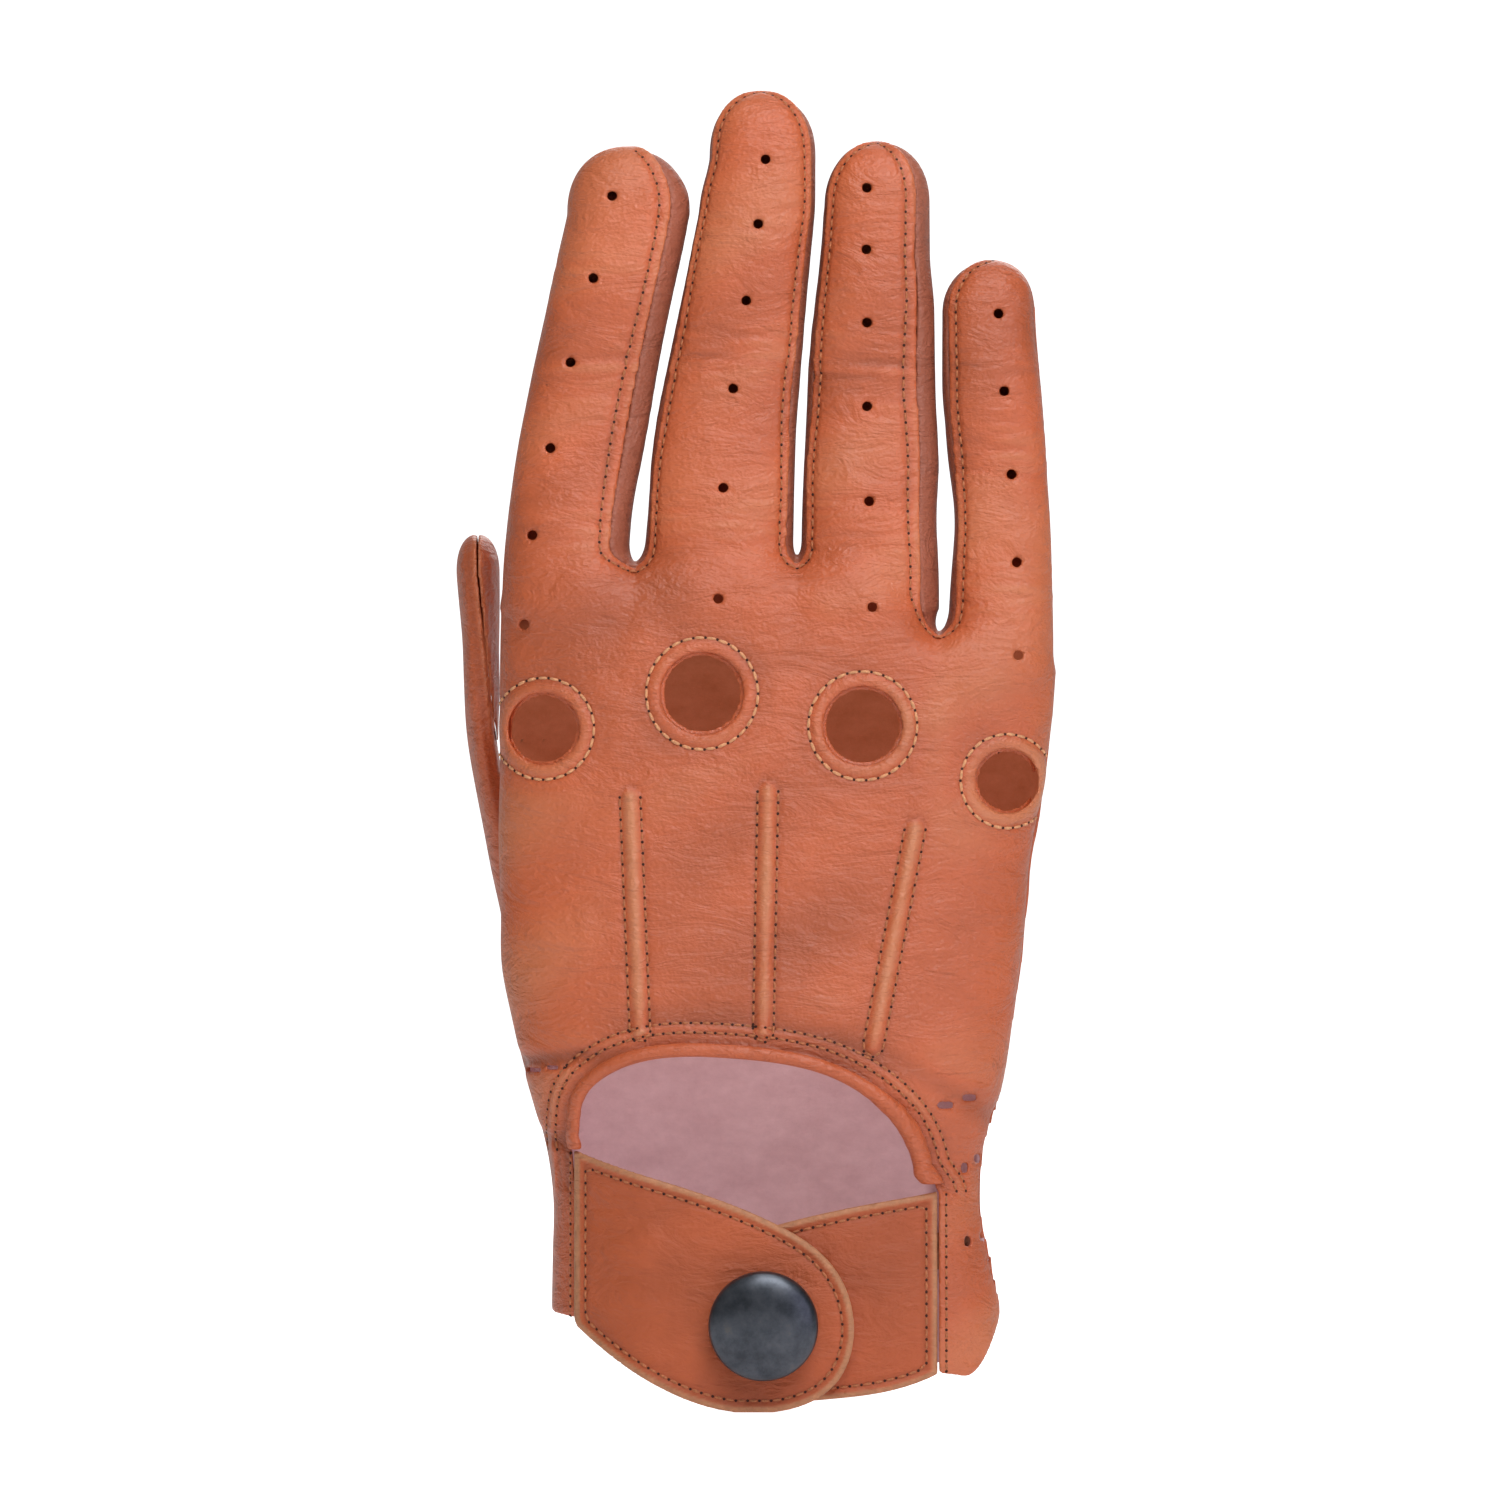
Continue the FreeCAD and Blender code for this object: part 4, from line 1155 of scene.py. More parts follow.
class Stitches:
    """Collects short lengths of thread and the needle holes between them; a needle hole is a small dark
    cap, painted shade for the hole.
    """

    def __init__(self):
        self.threads = []
        self.needle_holes = []

    def add(self, chain, spacing=STITCH, rise=0.05, radius=THREAD, cover=0.74):
        row = evenly(chain, spacing)
        if row is None:
            return
        places, normals = row
        for index in range(len(places) - 1):
            a = places[index]
            b = places[index + 1]
            along = b - a
            length = np.linalg.norm(along)
            normal = normals[index] + normals[index + 1]
            normal = normal / np.linalg.norm(normal)
            slant = rng.uniform(-0.06, 0.06)
            along = along / length
            side = np.cross(along, normal)
            self.threads.append(((a + b) / 2 + normal * rise, along + side * slant, normal,
                                 cover * length / 2, radius * rng.uniform(0.9, 1.1)))
        for place, normal in zip(places, normals):
            along = places[min(1, len(places) - 1)] - places[0]
            self.needle_holes.append((place, along, normal))

    def build(self, name, stage_filter, materials):
        """One mesh object of every thread and needle hole whose middle passes the filter."""
        places = []
        faces = []
        kinds = []

        def wall(first, around, kind):
            """Faces between two rings of points, the second of which follows the first."""
            for spoke in range(around):
                a = first + spoke
                b = first + (spoke + 1) % around
                faces.append((a, b, b + around, a + around))
                kinds.append(kind)

        for middle, along, normal, half, radius in self.threads:
            if not stage_filter(middle):
                continue
            side = np.cross(along, normal)
            first = len(places)
            for share in np.linspace(-1, 1, THREAD_RINGS):
                width = radius * math.sqrt(max(1 - 0.75 * share ** 4, 0.05))
                centre = middle + along * half * share - normal * 0.24 * share * share
                for turn in np.linspace(0, 2 * math.pi, THREAD_SIDES, endpoint=False):
                    places.append(centre + width * (math.cos(turn) * side + math.sin(turn) * normal))
            for ring in range(THREAD_RINGS - 1):
                wall(first + ring * THREAD_SIDES, THREAD_SIDES, 0)
        for middle, along, normal in self.needle_holes:
            if not stage_filter(middle):
                continue
            along = along - normal * np.dot(along, normal)
            along = along / np.linalg.norm(along)
            side = np.cross(normal, along)
            first = len(places)
            for radius, height in NEEDLE_HOLE:
                for turn in np.linspace(0, 2 * math.pi, HOLE_SIDES, endpoint=False):
                    spot = middle + radius * (math.cos(turn) * side + math.sin(turn) * along)
                    places.append(spot + normal * height)
            wall(first, HOLE_SIDES, 1)
            faces.append(tuple(range(first + HOLE_SIDES, first + 2 * HOLE_SIDES)))
            kinds.append(1)
        if not places:
            return None
        return new_mesh_object(name, places, faces, None, materials, np.array(kinds))


# ------------------------------------------------------------------ materials


class Nodes:
    """A small helper for wiring one material."""

    def __init__(self, name):
        self.material = bpy.data.materials.new(name)
        self.material.use_nodes = True
        self.tree = self.material.node_tree
        self.shader = self.tree.nodes["Principled BSDF"]
        self.place = self.tree.nodes.new("ShaderNodeTexCoord").outputs["Object"]

    def link(self, output, target):
        self.tree.links.new(output, target)

    def noise(self, scale, detail=4.0, roughness=0.55, stretch=None, distortion=0.0):
        where = self.place
        if stretch:
            mapping = self.tree.nodes.new("ShaderNodeMapping")
            mapping.inputs["Scale"].default_value = stretch
            self.link(self.place, mapping.inputs["Vector"])
            where = mapping.outputs["Vector"]
        node = self.tree.nodes.new("ShaderNodeTexNoise")
        node.inputs["Scale"].default_value = scale
        node.inputs["Detail"].default_value = detail
        node.inputs["Roughness"].default_value = roughness
        node.inputs["Distortion"].default_value = distortion
        self.link(where, node.inputs["Vector"])
        return node.outputs["Fac"]

    def cells(self, scale):
        node = self.tree.nodes.new("ShaderNodeTexVoronoi")
        node.inputs["Scale"].default_value = scale
        self.link(self.place, node.inputs["Vector"])
        return node.outputs["Distance"]

    def math(self, kind, first, second=0.0, clamp=False):
        node = self.tree.nodes.new("ShaderNodeMath")
        node.operation = kind
        node.use_clamp = clamp
        for value, socket in ((first, node.inputs[0]), (second, node.inputs[1])):
            if isinstance(value, (int, float)):
                socket.default_value = value
            else:
                self.link(value, socket)
        return node.outputs[0]

    def ramp(self, factor, *stops):
        node = self.tree.nodes.new("ShaderNodeValToRGB")
        while len(node.color_ramp.elements) < len(stops):
            node.color_ramp.elements.new(0.5)
        for element, (place, colour) in zip(node.color_ramp.elements, stops):
            element.position = place
            element.color = (*colour, 1)
        self.link(factor, node.inputs["Fac"])
        return node.outputs["Color"]

    def mix(self, factor, first, second):
        node = self.tree.nodes.new("ShaderNodeMix")
        node.data_type = "RGBA"
        sockets = [node.inputs[0], node.inputs[6], node.inputs[7]]
        for value, socket in zip((factor, first, second), sockets):
            if isinstance(value, tuple):
                socket.default_value = (*value, 1)
            elif isinstance(value, (int, float)):
                socket.default_value = value
            else:
                self.link(value, socket)
        return node.outputs[2]

    def mark(self, label):
        node = self.tree.nodes.new("ShaderNodeAttribute")
        node.attribute_name = label
        return node.outputs["Fac"]

    def height(self, axis="Z"):
        node = self.tree.nodes.new("ShaderNodeSeparateXYZ")
        self.link(self.place, node.inputs[0])
        return node.outputs[axis]

    def bump(self, height, strength, distance, normal=None):
        node = self.tree.nodes.new("ShaderNodeBump")
        node.inputs["Strength"].default_value = strength
        node.inputs["Distance"].default_value = distance
        self.link(height, node.inputs["Height"])
        if normal is not None:
            self.link(normal, node.inputs["Normal"])
        return node.outputs["Normal"]

    def finish(self, colour, roughness, normal=None, **others):
        for value, label in ((colour, "Base Color"), (roughness, "Roughness"), (normal, "Normal")):
            if value is None:
                continue
            if isinstance(value, tuple):
                self.shader.inputs[label].default_value = (*value, 1)
            elif isinstance(value, (int, float)):
                self.shader.inputs[label].default_value = value
            else:
                self.link(value, self.shader.inputs[label])
        for label, value in others.items():
            self.shader.inputs[label.replace("_", " ")].default_value = value
        return self.material


def shade(colour, factor):
    return tuple(channel * factor for channel in colour)


# TAN is the leather's own colour and RAW that of its cut edges; SHADE_TAN is painted shade for grooves and
# creases, HIGHLIGHT_TAN a painted highlight on ridges.
TAN = (0.63, 0.136, 0.046)
HIGHLIGHT_TAN = (0.72, 0.30, 0.14)
SHADE_TAN = (0.32, 0.068, 0.022)
RAW = (0.62, 0.27, 0.13)


def leather_material(name, base=TAN, rough=0.38, grain=1.0):
    """Smooth aniline leather: cloudy colour, fine pebble grain, painted shade in the valleys of its relief
    and a painted highlight on its ridges.
    """
    nodes = Nodes(name)
    clouds = nodes.noise(38, 5, 0.6)
    colour = nodes.ramp(clouds, (0.3, shade(base, 0.86)), (0.52, base), (0.75, shade(base, 1.12)))
    specks = nodes.noise(900, 3, 0.6)
    colour = nodes.mix(nodes.math("MULTIPLY", specks, 0.22), colour, shade(base, 0.72))
    # Painted shade where the relief sinks (stitch grooves, creases) and a painted highlight where it rises,
    # read from the valley mark.
    valley = nodes.mark("valley")
    colour = nodes.mix(nodes.math("MULTIPLY", valley, 1.5, True), colour, shade(SHADE_TAN, 1.15))
    ridge = nodes.math("MULTIPLY", valley, -0.9, True)
    colour = nodes.mix(ridge, colour, HIGHLIGHT_TAN)
    pebbles = nodes.cells(1500)
    fine = nodes.noise(2600, 3, 0.6)
    wrinkle = nodes.noise(420, 5, 0.65, (1.0, 1.0, 2.2), 0.6)
    fold_lines = nodes.noise(95, 4, 0.6, (0.7, 1.0, 1.9), 1.4)
    normal = nodes.bump(fold_lines, 0.55 * grain, 0.0022)
    normal = nodes.bump(wrinkle, 0.42 * grain, 0.0007, normal)
    normal = nodes.bump(pebbles, 0.34 * grain, 0.00028, normal)
    normal = nodes.bump(fine, 0.1 * grain, 0.00015, normal)
    shine = nodes.math("ADD", nodes.math("MULTIPLY", clouds, 0.16), rough - 0.08)
    return nodes.finish(colour, shine, normal, Specular_IOR_Level=0.6)


def suede_material(name):
    """The nap inside the glove: pink at the wrist, turning to a darker brown towards the fingers as painted
    shade for the dim inside of the hand, and given a faint glow below the fingers as a painted fill light.
    """
    nodes = Nodes(name)
    # Painted shade: the colour goes from pink at the wrist to a darker brown higher up, where the inside of
    # the hand lies in shade.
    up = nodes.math("MULTIPLY", nodes.math("SUBTRACT", nodes.height(), 0.066), 28.0, True)
    clouds = nodes.noise(160, 5, 0.7, (1.0, 1.0, 1.6))
    pink = nodes.ramp(clouds, (0.3, (0.60, 0.375, 0.395)), (0.7, (0.72, 0.48, 0.50)))
    shaded_brown = nodes.ramp(clouds, (0.3, (0.42, 0.125, 0.055)), (0.7, (0.52, 0.17, 0.085)))
    colour = nodes.mix(up, pink, shaded_brown)
    nap = nodes.noise(2200, 4, 0.7)
    normal = nodes.bump(nap, 0.5, 0.0003)
    normal = nodes.bump(clouds, 0.3, 0.001, normal)
    # Painted fill light: the lining glows faintly below the fingers, but not at the two sides near the
    # wrist.
    below_fingers = nodes.math("MULTIPLY", nodes.math("SUBTRACT", 0.136, nodes.height()), 200.0, True)
    off_middle = nodes.math("ABSOLUTE", nodes.math("ADD", nodes.height("X"), 0.004))
    at_sides = nodes.math("MULTIPLY", nodes.math("SUBTRACT", off_middle, 0.0295), 500.0, True)
    at_wrist = nodes.math("MULTIPLY", nodes.math("SUBTRACT", 0.075, nodes.height()), 300.0, True)
    seen_inside = nodes.math("SUBTRACT", 1.0, nodes.math("MULTIPLY", at_sides, at_wrist))
    glow = nodes.math("MULTIPLY", nodes.math("MULTIPLY", below_fingers, seen_inside), 0.3)
    nodes.link(colour, nodes.shader.inputs["Emission Color"])
    nodes.link(glow, nodes.shader.inputs["Emission Strength"])
    return nodes.finish(colour, 0.92, normal, Specular_IOR_Level=0.15)


def strap_material(name):
    """Strap leather: the same tan with a paler raw edge, and painted shade in its stitch groove and
    wrinkles.
    """
    nodes = Nodes(name)
    clouds = nodes.noise(60, 5, 0.6)
    colour = nodes.ramp(clouds, (0.3, shade(TAN, 0.7)), (0.55, shade(TAN, 0.84)), (0.8, shade(TAN, 0.95)))
    # Painted shade in the stitch groove and wrinkles, read from the valley mark.
    colour = nodes.mix(nodes.math("MULTIPLY", nodes.mark("valley"), 1.6, True), colour, shade(SHADE_TAN, 1.1))
    fibres = nodes.noise(700, 4, 0.7)
    raw = nodes.ramp(fibres, (0.3, shade(RAW, 0.72)), (0.7, RAW))
    colour = nodes.mix(nodes.mark("raw"), colour, raw)
    pebbles = nodes.cells(1300)
    wrinkle = nodes.noise(380, 5, 0.65, (1.0, 1.0, 2.4), 0.6)
    fold_lines = nodes.noise(120, 4, 0.6, (0.8, 1.0, 1.7), 1.2)
    normal = nodes.bump(fold_lines, 0.5, 0.0018)
    normal = nodes.bump(wrinkle, 0.4, 0.0007, normal)
    normal = nodes.bump(pebbles, 0.2, 0.00028, normal)
    return nodes.finish(colour, 0.47, normal, Specular_IOR_Level=0.4)


def gunmetal_material(name):
    nodes = Nodes(name)
    clouds = nodes.noise(220, 5, 0.7)
    colour = nodes.ramp(clouds, (0.3, (0.055, 0.062, 0.075)), (0.6, (0.11, 0.12, 0.14)),
                        (0.8, (0.17, 0.155, 0.13)))
    scratches = nodes.noise(1500, 4, 0.7)
    normal = nodes.bump(scratches, 0.06, 0.0002)
    rough = nodes.math("ADD", nodes.math("MULTIPLY", clouds, 0.2), 0.24)
    return nodes.finish(colour, rough, normal, Metallic=0.9)


def thread_material(name, colour, rough):
    nodes = Nodes(name)
    twist = nodes.noise(2400, 2, 0.5)
    tint = nodes.ramp(twist, (0.3, shade(colour, 0.75)), (0.7, shade(colour, 1.15)))
    return nodes.finish(tint, rough, nodes.bump(twist, 0.4, 0.0002))


def elastic_material(name):
    nodes = Nodes(name)
    weave = nodes.noise(1500, 2, 0.5, (1.0, 1.0, 0.4))
    tint = nodes.ramp(weave, (0.35, (0.16, 0.07, 0.035)), (0.65, (0.34, 0.16, 0.09)))
    return nodes.finish(tint, 0.85, nodes.bump(weave, 0.6, 0.0004))


leather = leather_material("tan leather")
# Painted shade: the strips between the fingers get a darker, browner copy of the tan leather, for the shade
# that falls between the fingers.
side_leather = leather_material("shaded side leather", (0.40, 0.115, 0.06), 0.5)
suede = suede_material("suede inside")
strap_leather = strap_material("strap leather")
gunmetal = gunmetal_material("gunmetal")
thread = thread_material("thread", (0.80, 0.38, 0.18), 0.6)
pale_thread = thread_material("seam thread", (0.52, 0.17, 0.065), 0.6)
# Painted shade: near-black for the needle holes.
needle_hole_shade = thread_material("needle hole", (0.05, 0.014, 0.006), 0.9)
elastic_weave = elastic_material("elastic weave")

# ------------------------------------------------------------------ pieces, some attached to bodies

# MIDDLE_BEND marks a point below a finger's middle fold, as a share of the length between its two folds;
# the middle piece starts halfway between that point and the end of the knuckle fold. TIP_START is where
# between the folds the end piece starts.
MIDDLE_BEND = 0.5
TIP_START = 0.58
middle_start = {}
tip_start = {}
for name in FINGERS:
    stall = stalls[name]
    middle_start[name] = (knuckle_end + stall.middle_fold - MIDDLE_BEND * stall.length) / 2
    tip_start[name] = stall.middle_fold + TIP_START * stall.length


def stage_in(name, z):
    """Stage of a place on one finger: 0 below its middle piece, else the number of its piece."""
    return (1 + 2 * FINGERS.index(name)) * (z > middle_start[name]) + (z > tip_start[name])


def stages(x, z):
    """0 for hand and knuckles, then 1 and 2 for the middle and the tip of the first finger, and so on."""
    return nearest_stall({name: stage_in(name, z) for name in FINGERS}, x, z)


STAGE_NAMES = ["root"] + [f"{name}_{part}" for name in FINGERS for part in ("middle", "tip")]


def blend_along(piece):
    """Bakes a piece's transform into its mesh."""
    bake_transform(piece)


def bend(piece, stage):
    """Bakes a piece's transform into its mesh, the same way for every stage."""
    if stage == 0:
        blend_along(piece)
        return
    blend_along(piece)


def stand_for(piece, slot, *nodes):
    """Hides the CAD nodes that a piece shows; the piece and the slot are not used."""
    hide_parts(*nodes)


bx, by, bz = back.places.T
# The relief's sink also paints light: painted shade where the back sinks (creases, stitch grooves) and a
# painted highlight where it rises (rolled edges, raised points).
back_sunk = back_relief(bx, by, bz, back_cut(bx, by, bz)) * (by < 0)
back_marks = {"valley": back_sunk}
back_stage = stages(back.middles[:, 0], back.middles[:, 2])
palm_stage = stages(palm.middles[:, 0], palm.middles[:, 2])

for number, stage in enumerate(STAGE_NAMES):
    is_hand = number == 0
    piece = back.piece("back_of_hand" if is_hand else f"{stage}_back_leather", back_stage == number,
                       [leather, suede], marks=back_marks)
    bend(piece, number)
    hand_nodes = ["hand_back", "knuckle_back", "point_left", "point_middle", "point_right"]
    stand_for(piece, "leather", *(hand_nodes if is_hand else [f"{stage}_back"]))
    piece = palm.piece("palm_of_hand" if is_hand else f"{stage}_palm_leather", palm_stage == number,
                       [leather, suede])
    bend(piece, number)
    stand_for(piece, "leather", *(["hand_palm", "knuckle_palm"] if is_hand else [f"{stage}_palm"]))

for (first, second), panel in sides.items():
    across, _, height = panel.middles.T
    line = (stalls[first].right(height) + stalls[second].left(height)) / 2
    side_stage = np.where(across < line, stage_in(first, height), stage_in(second, height))
    for number in np.unique(side_stage):
        stage = STAGE_NAMES[number]
        way = "right" if stage.startswith(first) else "left"
        label = f"side_root_{first}_{second}" if number == 0 else f"{stage}_side_{way}"
        node = f"fourchette_root_{first}_{second}" if number == 0 else f"{stage}_fourchette_{way}"
        piece = panel.piece(label, side_stage == number, [side_leather, suede])
        bend(piece, number)
        stand_for(piece, "side_leather", node)

for name, panel in facings.items():
    piece = panel.whole(f"facing_{name}", [leather])
    bend(piece, 0)
    stand_for(piece, "inner_leather", f"knuckle_facing_{name}")

piece = binding.whole("binding_roll", [leather])
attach(piece, "hand")
stand_for(piece, "leather", "opening_binding")


def raw_marks(panel, outline, seed):
    x, _, z = panel.places.T
    edge = outline_distance(outline, x, z)
    relief = strap_relief(edge, x, z, seed)
    # raw is the paler cut edge, the strap's own colour; valley drives painted shade in the stitch groove
    # and wrinkles.
    return {"raw": smooth_step((edge + 1.25) / 0.5), "valley": relief * (edge < -1.0)}


def strap_bend(piece):
    blend_along(piece)


for label, panel, node in (("strap_face", strap, "strap_leather"),
                           ("strap_lining", backing, "strap_backing")):
    piece = panel.whole(label, [strap_leather], raw_marks(panel, strap_outline, 61))
    strap_bend(piece)
    stand_for(piece, "strap_leather", node)
piece = under.whole("under_strap_leather", [strap_leather], raw_marks(under, under_outline, 71))
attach(piece, "hand")
stand_for(piece, "strap_leather", "under_strap")

piece = elastic.whole("elastic_band", [elastic_weave])
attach(piece, "hand")
stand_for(piece, "elastic", "wrist_elastic")

THUMB_CUT = THUMB_BASE + 11.0
for side, panel in thumb.items():
    x, y, z = panel.places.T
    seam = np.abs(x - thumb_seam(z))
    # The valley mark paints shade along the seam's two stitch rows and a painted highlight on the seam's
    # ridge.
    mark = {"valley": (0.25 * groove(seam - 1.5) - 0.35 * groove(seam, 0.9)) * (y < 14)}
    above = panel.middles[:, 2] > THUMB_CUT
    piece = panel.piece(f"thumb_root_{side}", ~above, [leather, suede], marks=mark)
    blend_along(piece)
    stand_for(piece, "leather", "thumb_root", f"thumb_{side}_leaf")
    piece = panel.piece(f"thumb_upper_{side}", above, [leather, suede], marks=mark)
    blend_along(piece)
    stand_for(piece, "leather", f"thumb_{side}_leaf", f"thumbtip_{side}_leaf")

# ------------------------------------------------------------------ thread work

# Fewer points than this in a row are left-over bits, not a row of stitches.
SHORT_ROW = 12
WRIST_STITCH = 1.75
STRAP_STITCH = 2.0
seams = Stitches()
rings = Stitches()
wrist = Stitches()
on_strap = Stitches()


def sew(stitches, panel, values, keep, shortest=SHORT_ROW, **options):
    """Adds stitches along the lines where values are zero."""
    for chain in rows_on(panel, values, keep):
        if len(chain) > shortest:
            stitches.add(chain, **options)


front = (back.depth > -0.35) & (by < 0)
between = (inner_sides(bx, bz) > 0.5) & (bz > crotch_height(bx) - 9)
sew(seams, back, back_cut(bx, by, bz) + CUT_ROW, front & between)
for name in FINGERS:
    sew(rings, back, hole_distance(name, bx, bz) - HOLE_ROW, front,
        spacing=2.05, rise=0.14, radius=0.27, cover=0.8)
for name in points:
    level = (bz > points[name][0][1] - 3.2) & (bz < points[name][1][1])
    sew(seams, back, point_distance(name, bx, bz) - POINT_ROW, front & level)
opening = opening_distance(bx, bz)
above_straps = bz > np.where(bx < 0, binding_line[0][1] - 3, binding_line[-1][1] - 4)
for row in BINDING_ROWS:
    sew(wrist, back, opening - row, front & above_straps, spacing=WRIST_STITCH)
for seam_x in (under_seam_x + 1.4, strap_seam_x - 0.6):
    sew(wrist, back, bx - seam_x, front & ~above_straps & (bz > 6), 8, spacing=WRIST_STITCH)
ux, _, uz = under.places.T
sew(wrist, under, outline_distance(under_outline, ux, uz) + STRAP_ROW, (under.depth > -0.4) & (ux > 0), 10,
    spacing=STRAP_STITCH)
sx, _, sz = strap.places.T
sew(on_strap, strap, outline_distance(strap_outline, sx, sz) + STRAP_ROW,
    (strap.depth > 1.4) & (sx > strap_seam_x + 1.5), 10, spacing=STRAP_STITCH)

for number, stage in enumerate(STAGE_NAMES):
    def here(place, number=number):
        return int(stages(place[0], place[2])) == number
    piece = seams.build(f"{stage}_seam_thread", here, [pale_thread, needle_hole_shade])
    if piece:
        bend(piece, number)


def everywhere(_):
    return True


bend(rings.build("knuckle_hole_thread", everywhere, [thread, needle_hole_shade]), 0)
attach(wrist.build("wrist_thread", everywhere, [pale_thread, needle_hole_shade]), "hand")
strap_bend(on_strap.build("strap_thread", everywhere, [pale_thread, needle_hole_shade]))

# ------------------------------------------------------------------ the snap

TURNED_STEPS = 96
CAP_PROFILE = (
    (0.30, 0.00), (0.86, 0.00), (0.95, 0.05), (0.99, 0.14), (1.00, 0.27), (0.995, 0.40), (0.975, 0.52),
    (0.94, 0.62), (0.88, 0.71), (0.80, 0.785), (0.70, 0.85), (0.58, 0.905), (0.44, 0.95), (0.30, 0.978),
    (0.16, 0.995), (0.05, 1.00),
)
SOCKET_PROFILE = (
    (0.30, 0.00), (0.90, 0.00), (1.00, 0.12), (1.00, 0.88), (0.92, 1.00), (0.55, 1.00), (0.52, 0.62),
    (0.30, 0.60), (0.05, 0.60),
)


def turned_piece(name, node, profile, material, body):
    """A round part on the box of its CAD node, turned about an axis through the glove's back.

    The profile runs from the seated side to the front: (share of radius, share of depth).
    """
    low, high = node_box(node)
    middle = (low + high) / 2
    radius = (high[0] - low[0]) / 2
    depth = high[1] - low[1]
    around = TURNED_STEPS
    places = []
    for share, rise in profile:
        for step in range(around):
            turn = 2 * math.pi * step / around
            places.append((middle[0] + radius * share * math.cos(turn), high[1] - depth * rise,
                           middle[2] + radius * share * math.sin(turn)))
    faces = []
    for ring in range(len(profile) - 1):
        for step in range(around):
            a = ring * around + step
            b = ring * around + (step + 1) % around
            faces.append((a, a + around, b + around, b))
    faces.append(tuple(range(around - 1, -1, -1)))
    faces.append(tuple(range((len(profile) - 1) * around, len(profile) * around)))
    piece = new_mesh_object(name, places, faces, materials=[material])
    outward = bmesh.new()
    outward.from_mesh(piece.data)
    bmesh.ops.recalc_face_normals(outward, faces=outward.faces)
    outward.to_mesh(piece.data)
    outward.free()
    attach(piece, body)
    stand_for(piece, "gunmetal", node)


turned_piece("snap_cap_dome", "snap_cap", CAP_PROFILE, gunmetal, "strap")
turned_piece("snap_socket_ring", "snap_socket", SOCKET_PROFILE, gunmetal, "strap")
turned_piece("snap_stud_ring", "snap_stud", SOCKET_PROFILE, gunmetal, "hand")

# ------------------------------------------------------------------ studio

# A sheet of pale paper, in metres, that curves up into a wall far behind the glove.
FLOOR_HALF = 3.2
BACK_WALL = 2.8
WALL_TOP = 3.0
WALL_CURVE = 1.0
CURVE_STEPS = 16
FLOOR_LEVEL = float(cad_low[2]) - 0.0006
PAPER_GLOW = 0.2
WORLD_GLOW = 0.16
floor_rows = [(-FLOOR_HALF, 0.0), (BACK_WALL - WALL_CURVE, 0.0)]
for step in range(1, CURVE_STEPS + 1):
    turn = math.pi / 2 * step / CURVE_STEPS
    depth = BACK_WALL - WALL_CURVE + WALL_CURVE * math.sin(turn)
    floor_rows.append((depth, WALL_CURVE * (1 - math.cos(turn))))
floor_rows.append((BACK_WALL, WALL_TOP))
floor_places = []
for depth, height in floor_rows:
    for side in (-FLOOR_HALF, FLOOR_HALF):
        floor_places.append((side / MM, depth / MM, (height + FLOOR_LEVEL) / MM))
floor_faces = [(2 * row, 2 * row + 1, 2 * row + 3, 2 * row + 2) for row in range(len(floor_rows) - 1)]


def white_to_camera(tree, target, strength):
    """Drives a light strength: 1 where the camera looks straight at it, less for what it lights."""
    seen = tree.nodes.new("ShaderNodeLightPath").outputs["Is Camera Ray"]
    choice = tree.nodes.new("ShaderNodeMapRange")
    choice.inputs["To Min"].default_value = strength
    choice.inputs["To Max"].default_value = 1.0
    tree.links.new(seen, choice.inputs["Value"])
    tree.links.new(choice.outputs["Result"], target)


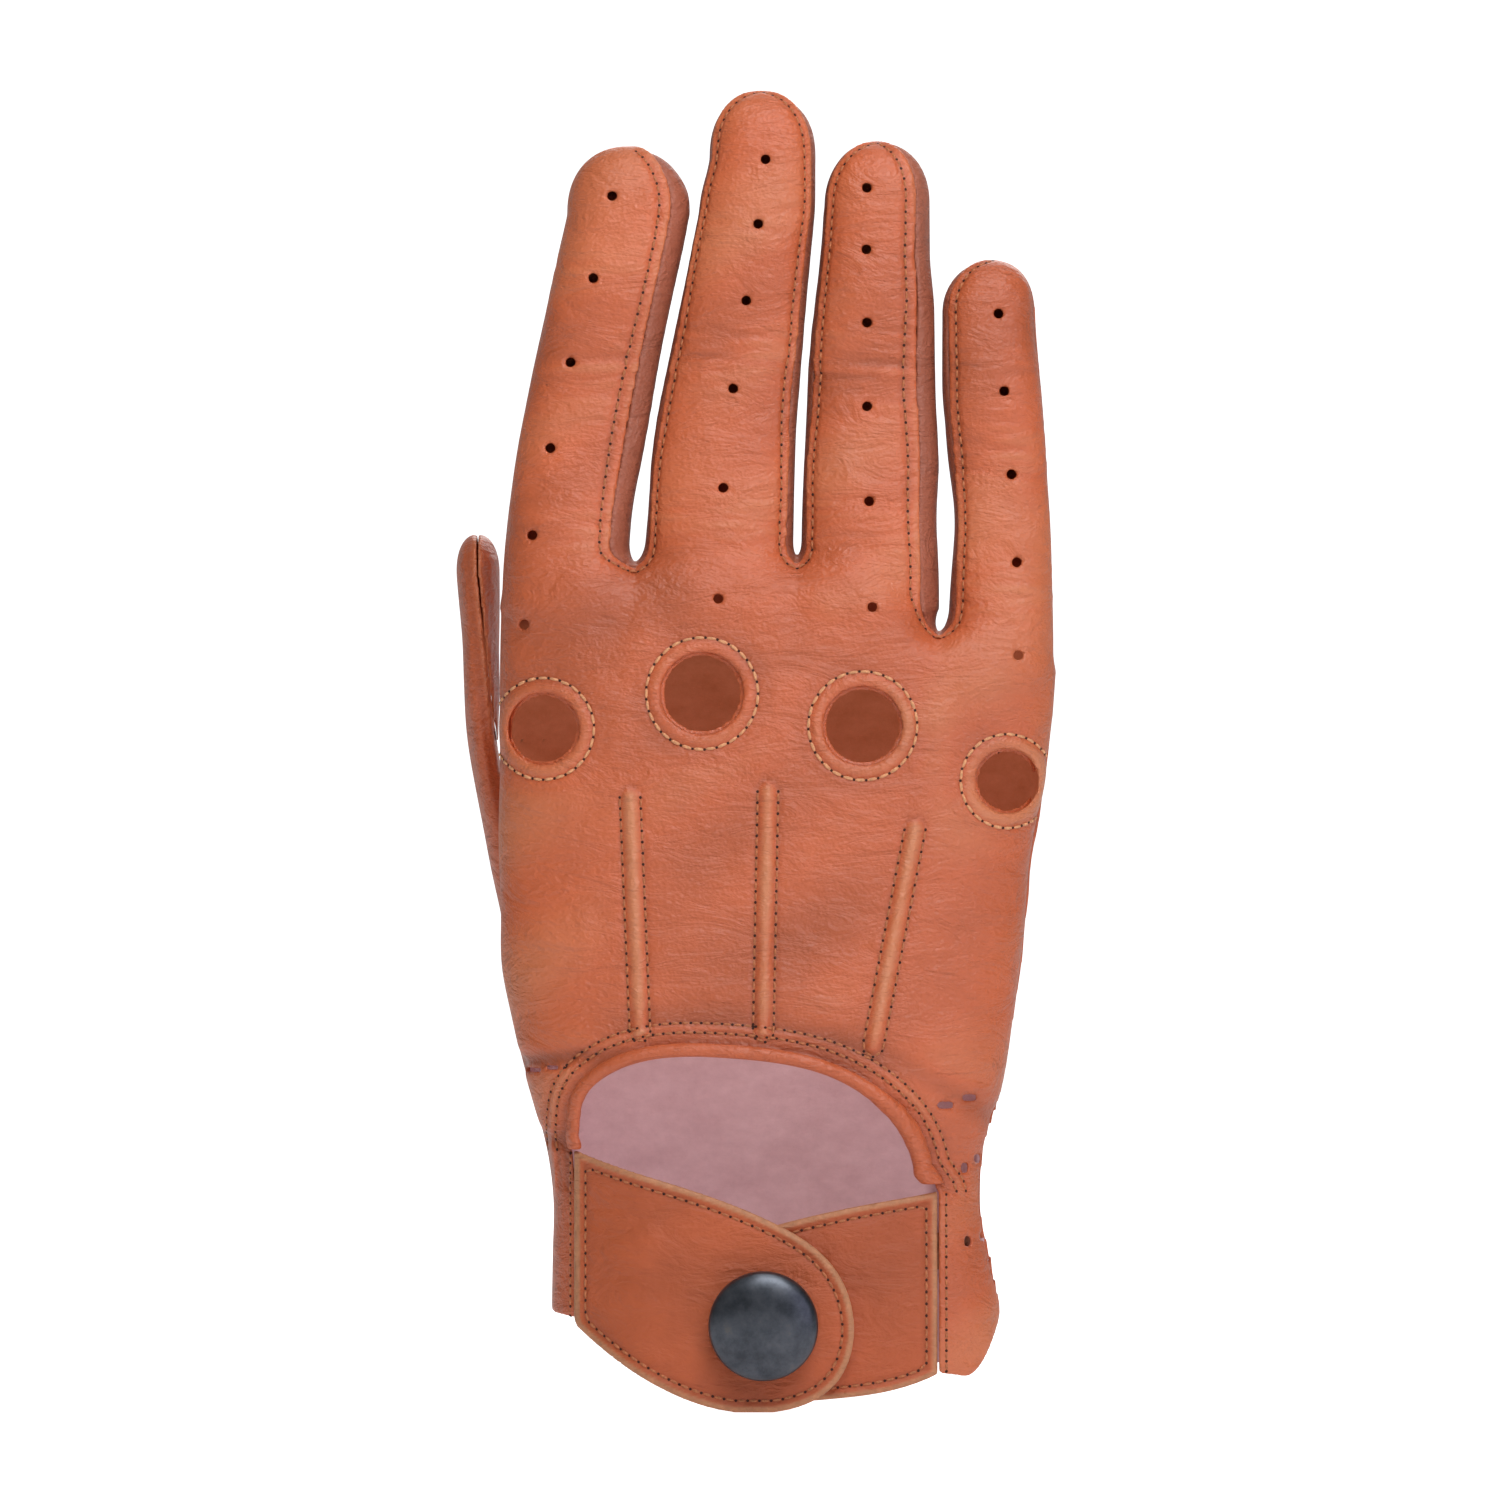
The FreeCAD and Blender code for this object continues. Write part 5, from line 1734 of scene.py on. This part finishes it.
paper = bpy.data.materials.new("pale paper")
paper.use_nodes = True
paper_shader = paper.node_tree.nodes["Principled BSDF"]
paper_shader.inputs["Base Color"].default_value = (0.93, 0.93, 0.93, 1)
paper_shader.inputs["Roughness"].default_value = 0.9
paper_shader.inputs["Emission Color"].default_value = (1, 1, 1, 1)
white_to_camera(paper.node_tree, paper_shader.inputs["Emission Strength"], PAPER_GLOW)
studio_floor = new_mesh_object("studio_floor", floor_places, floor_faces, materials=[paper])

world = bpy.data.worlds.new("soft studio")
world.use_nodes = True
background = world.node_tree.nodes["Background"]
background.inputs["Color"].default_value = (1, 1, 1, 1)
white_to_camera(world.node_tree, background.inputs["Strength"], WORLD_GLOW)
bpy.context.scene.world = world


def area_light(name, place, target, size, power, colour=(1, 1, 1)):
    """A square soft light: places and size in metres, power in watts."""
    data = bpy.data.lights.new(name, "AREA")
    data.shape = "SQUARE"
    data.size = size
    data.energy = power
    data.color = colour
    light = bpy.data.objects.new(name, data)
    light.location = place
    light.rotation_euler = (Vector(target) - Vector(place)).to_track_quat("-Z", "Y").to_euler()
    bpy.context.scene.collection.objects.link(light)
    return light


GLOVE_MIDDLE = (0, 0, 0.11)
key_light = area_light("key", (0.1, -0.42, 0.5), (0, 0, 0.15), 0.34, 1.85)
fill_light = area_light("fill", (0.75, -0.8, 0.3), GLOVE_MIDDLE, 0.8, 1.8, (0.8, 0.76, 1.0))
top_light = area_light("top", (0.1, -0.15, 0.95), GLOVE_MIDDLE, 0.5, 1.5)
rear_light = area_light("rear", (0.2, 1.2, 0.8), GLOVE_MIDDLE, 0.8, 4.0)

# The camera looks level at the back of the glove; FRAME_WIDE is what it sees across, in metres.
CAMERA_DISTANCE = 1.8
CAMERA_ACROSS = -0.00445
CAMERA_HEIGHT = 0.1123
FRAME_WIDE = 0.2566
SENSOR = 36.0
camera_data = bpy.data.cameras.new("camera")
camera_data.sensor_width = SENSOR
camera_data.lens = SENSOR * CAMERA_DISTANCE / FRAME_WIDE
camera_data.clip_end = 20
camera = bpy.data.objects.new("camera", camera_data)
camera.location = (CAMERA_ACROSS, -CAMERA_DISTANCE, CAMERA_HEIGHT)
camera.rotation_euler = (math.pi / 2, 0, 0)
bpy.context.scene.collection.objects.link(camera)
bpy.context.scene.camera = camera
bpy.context.scene.view_settings.view_transform = "Standard"
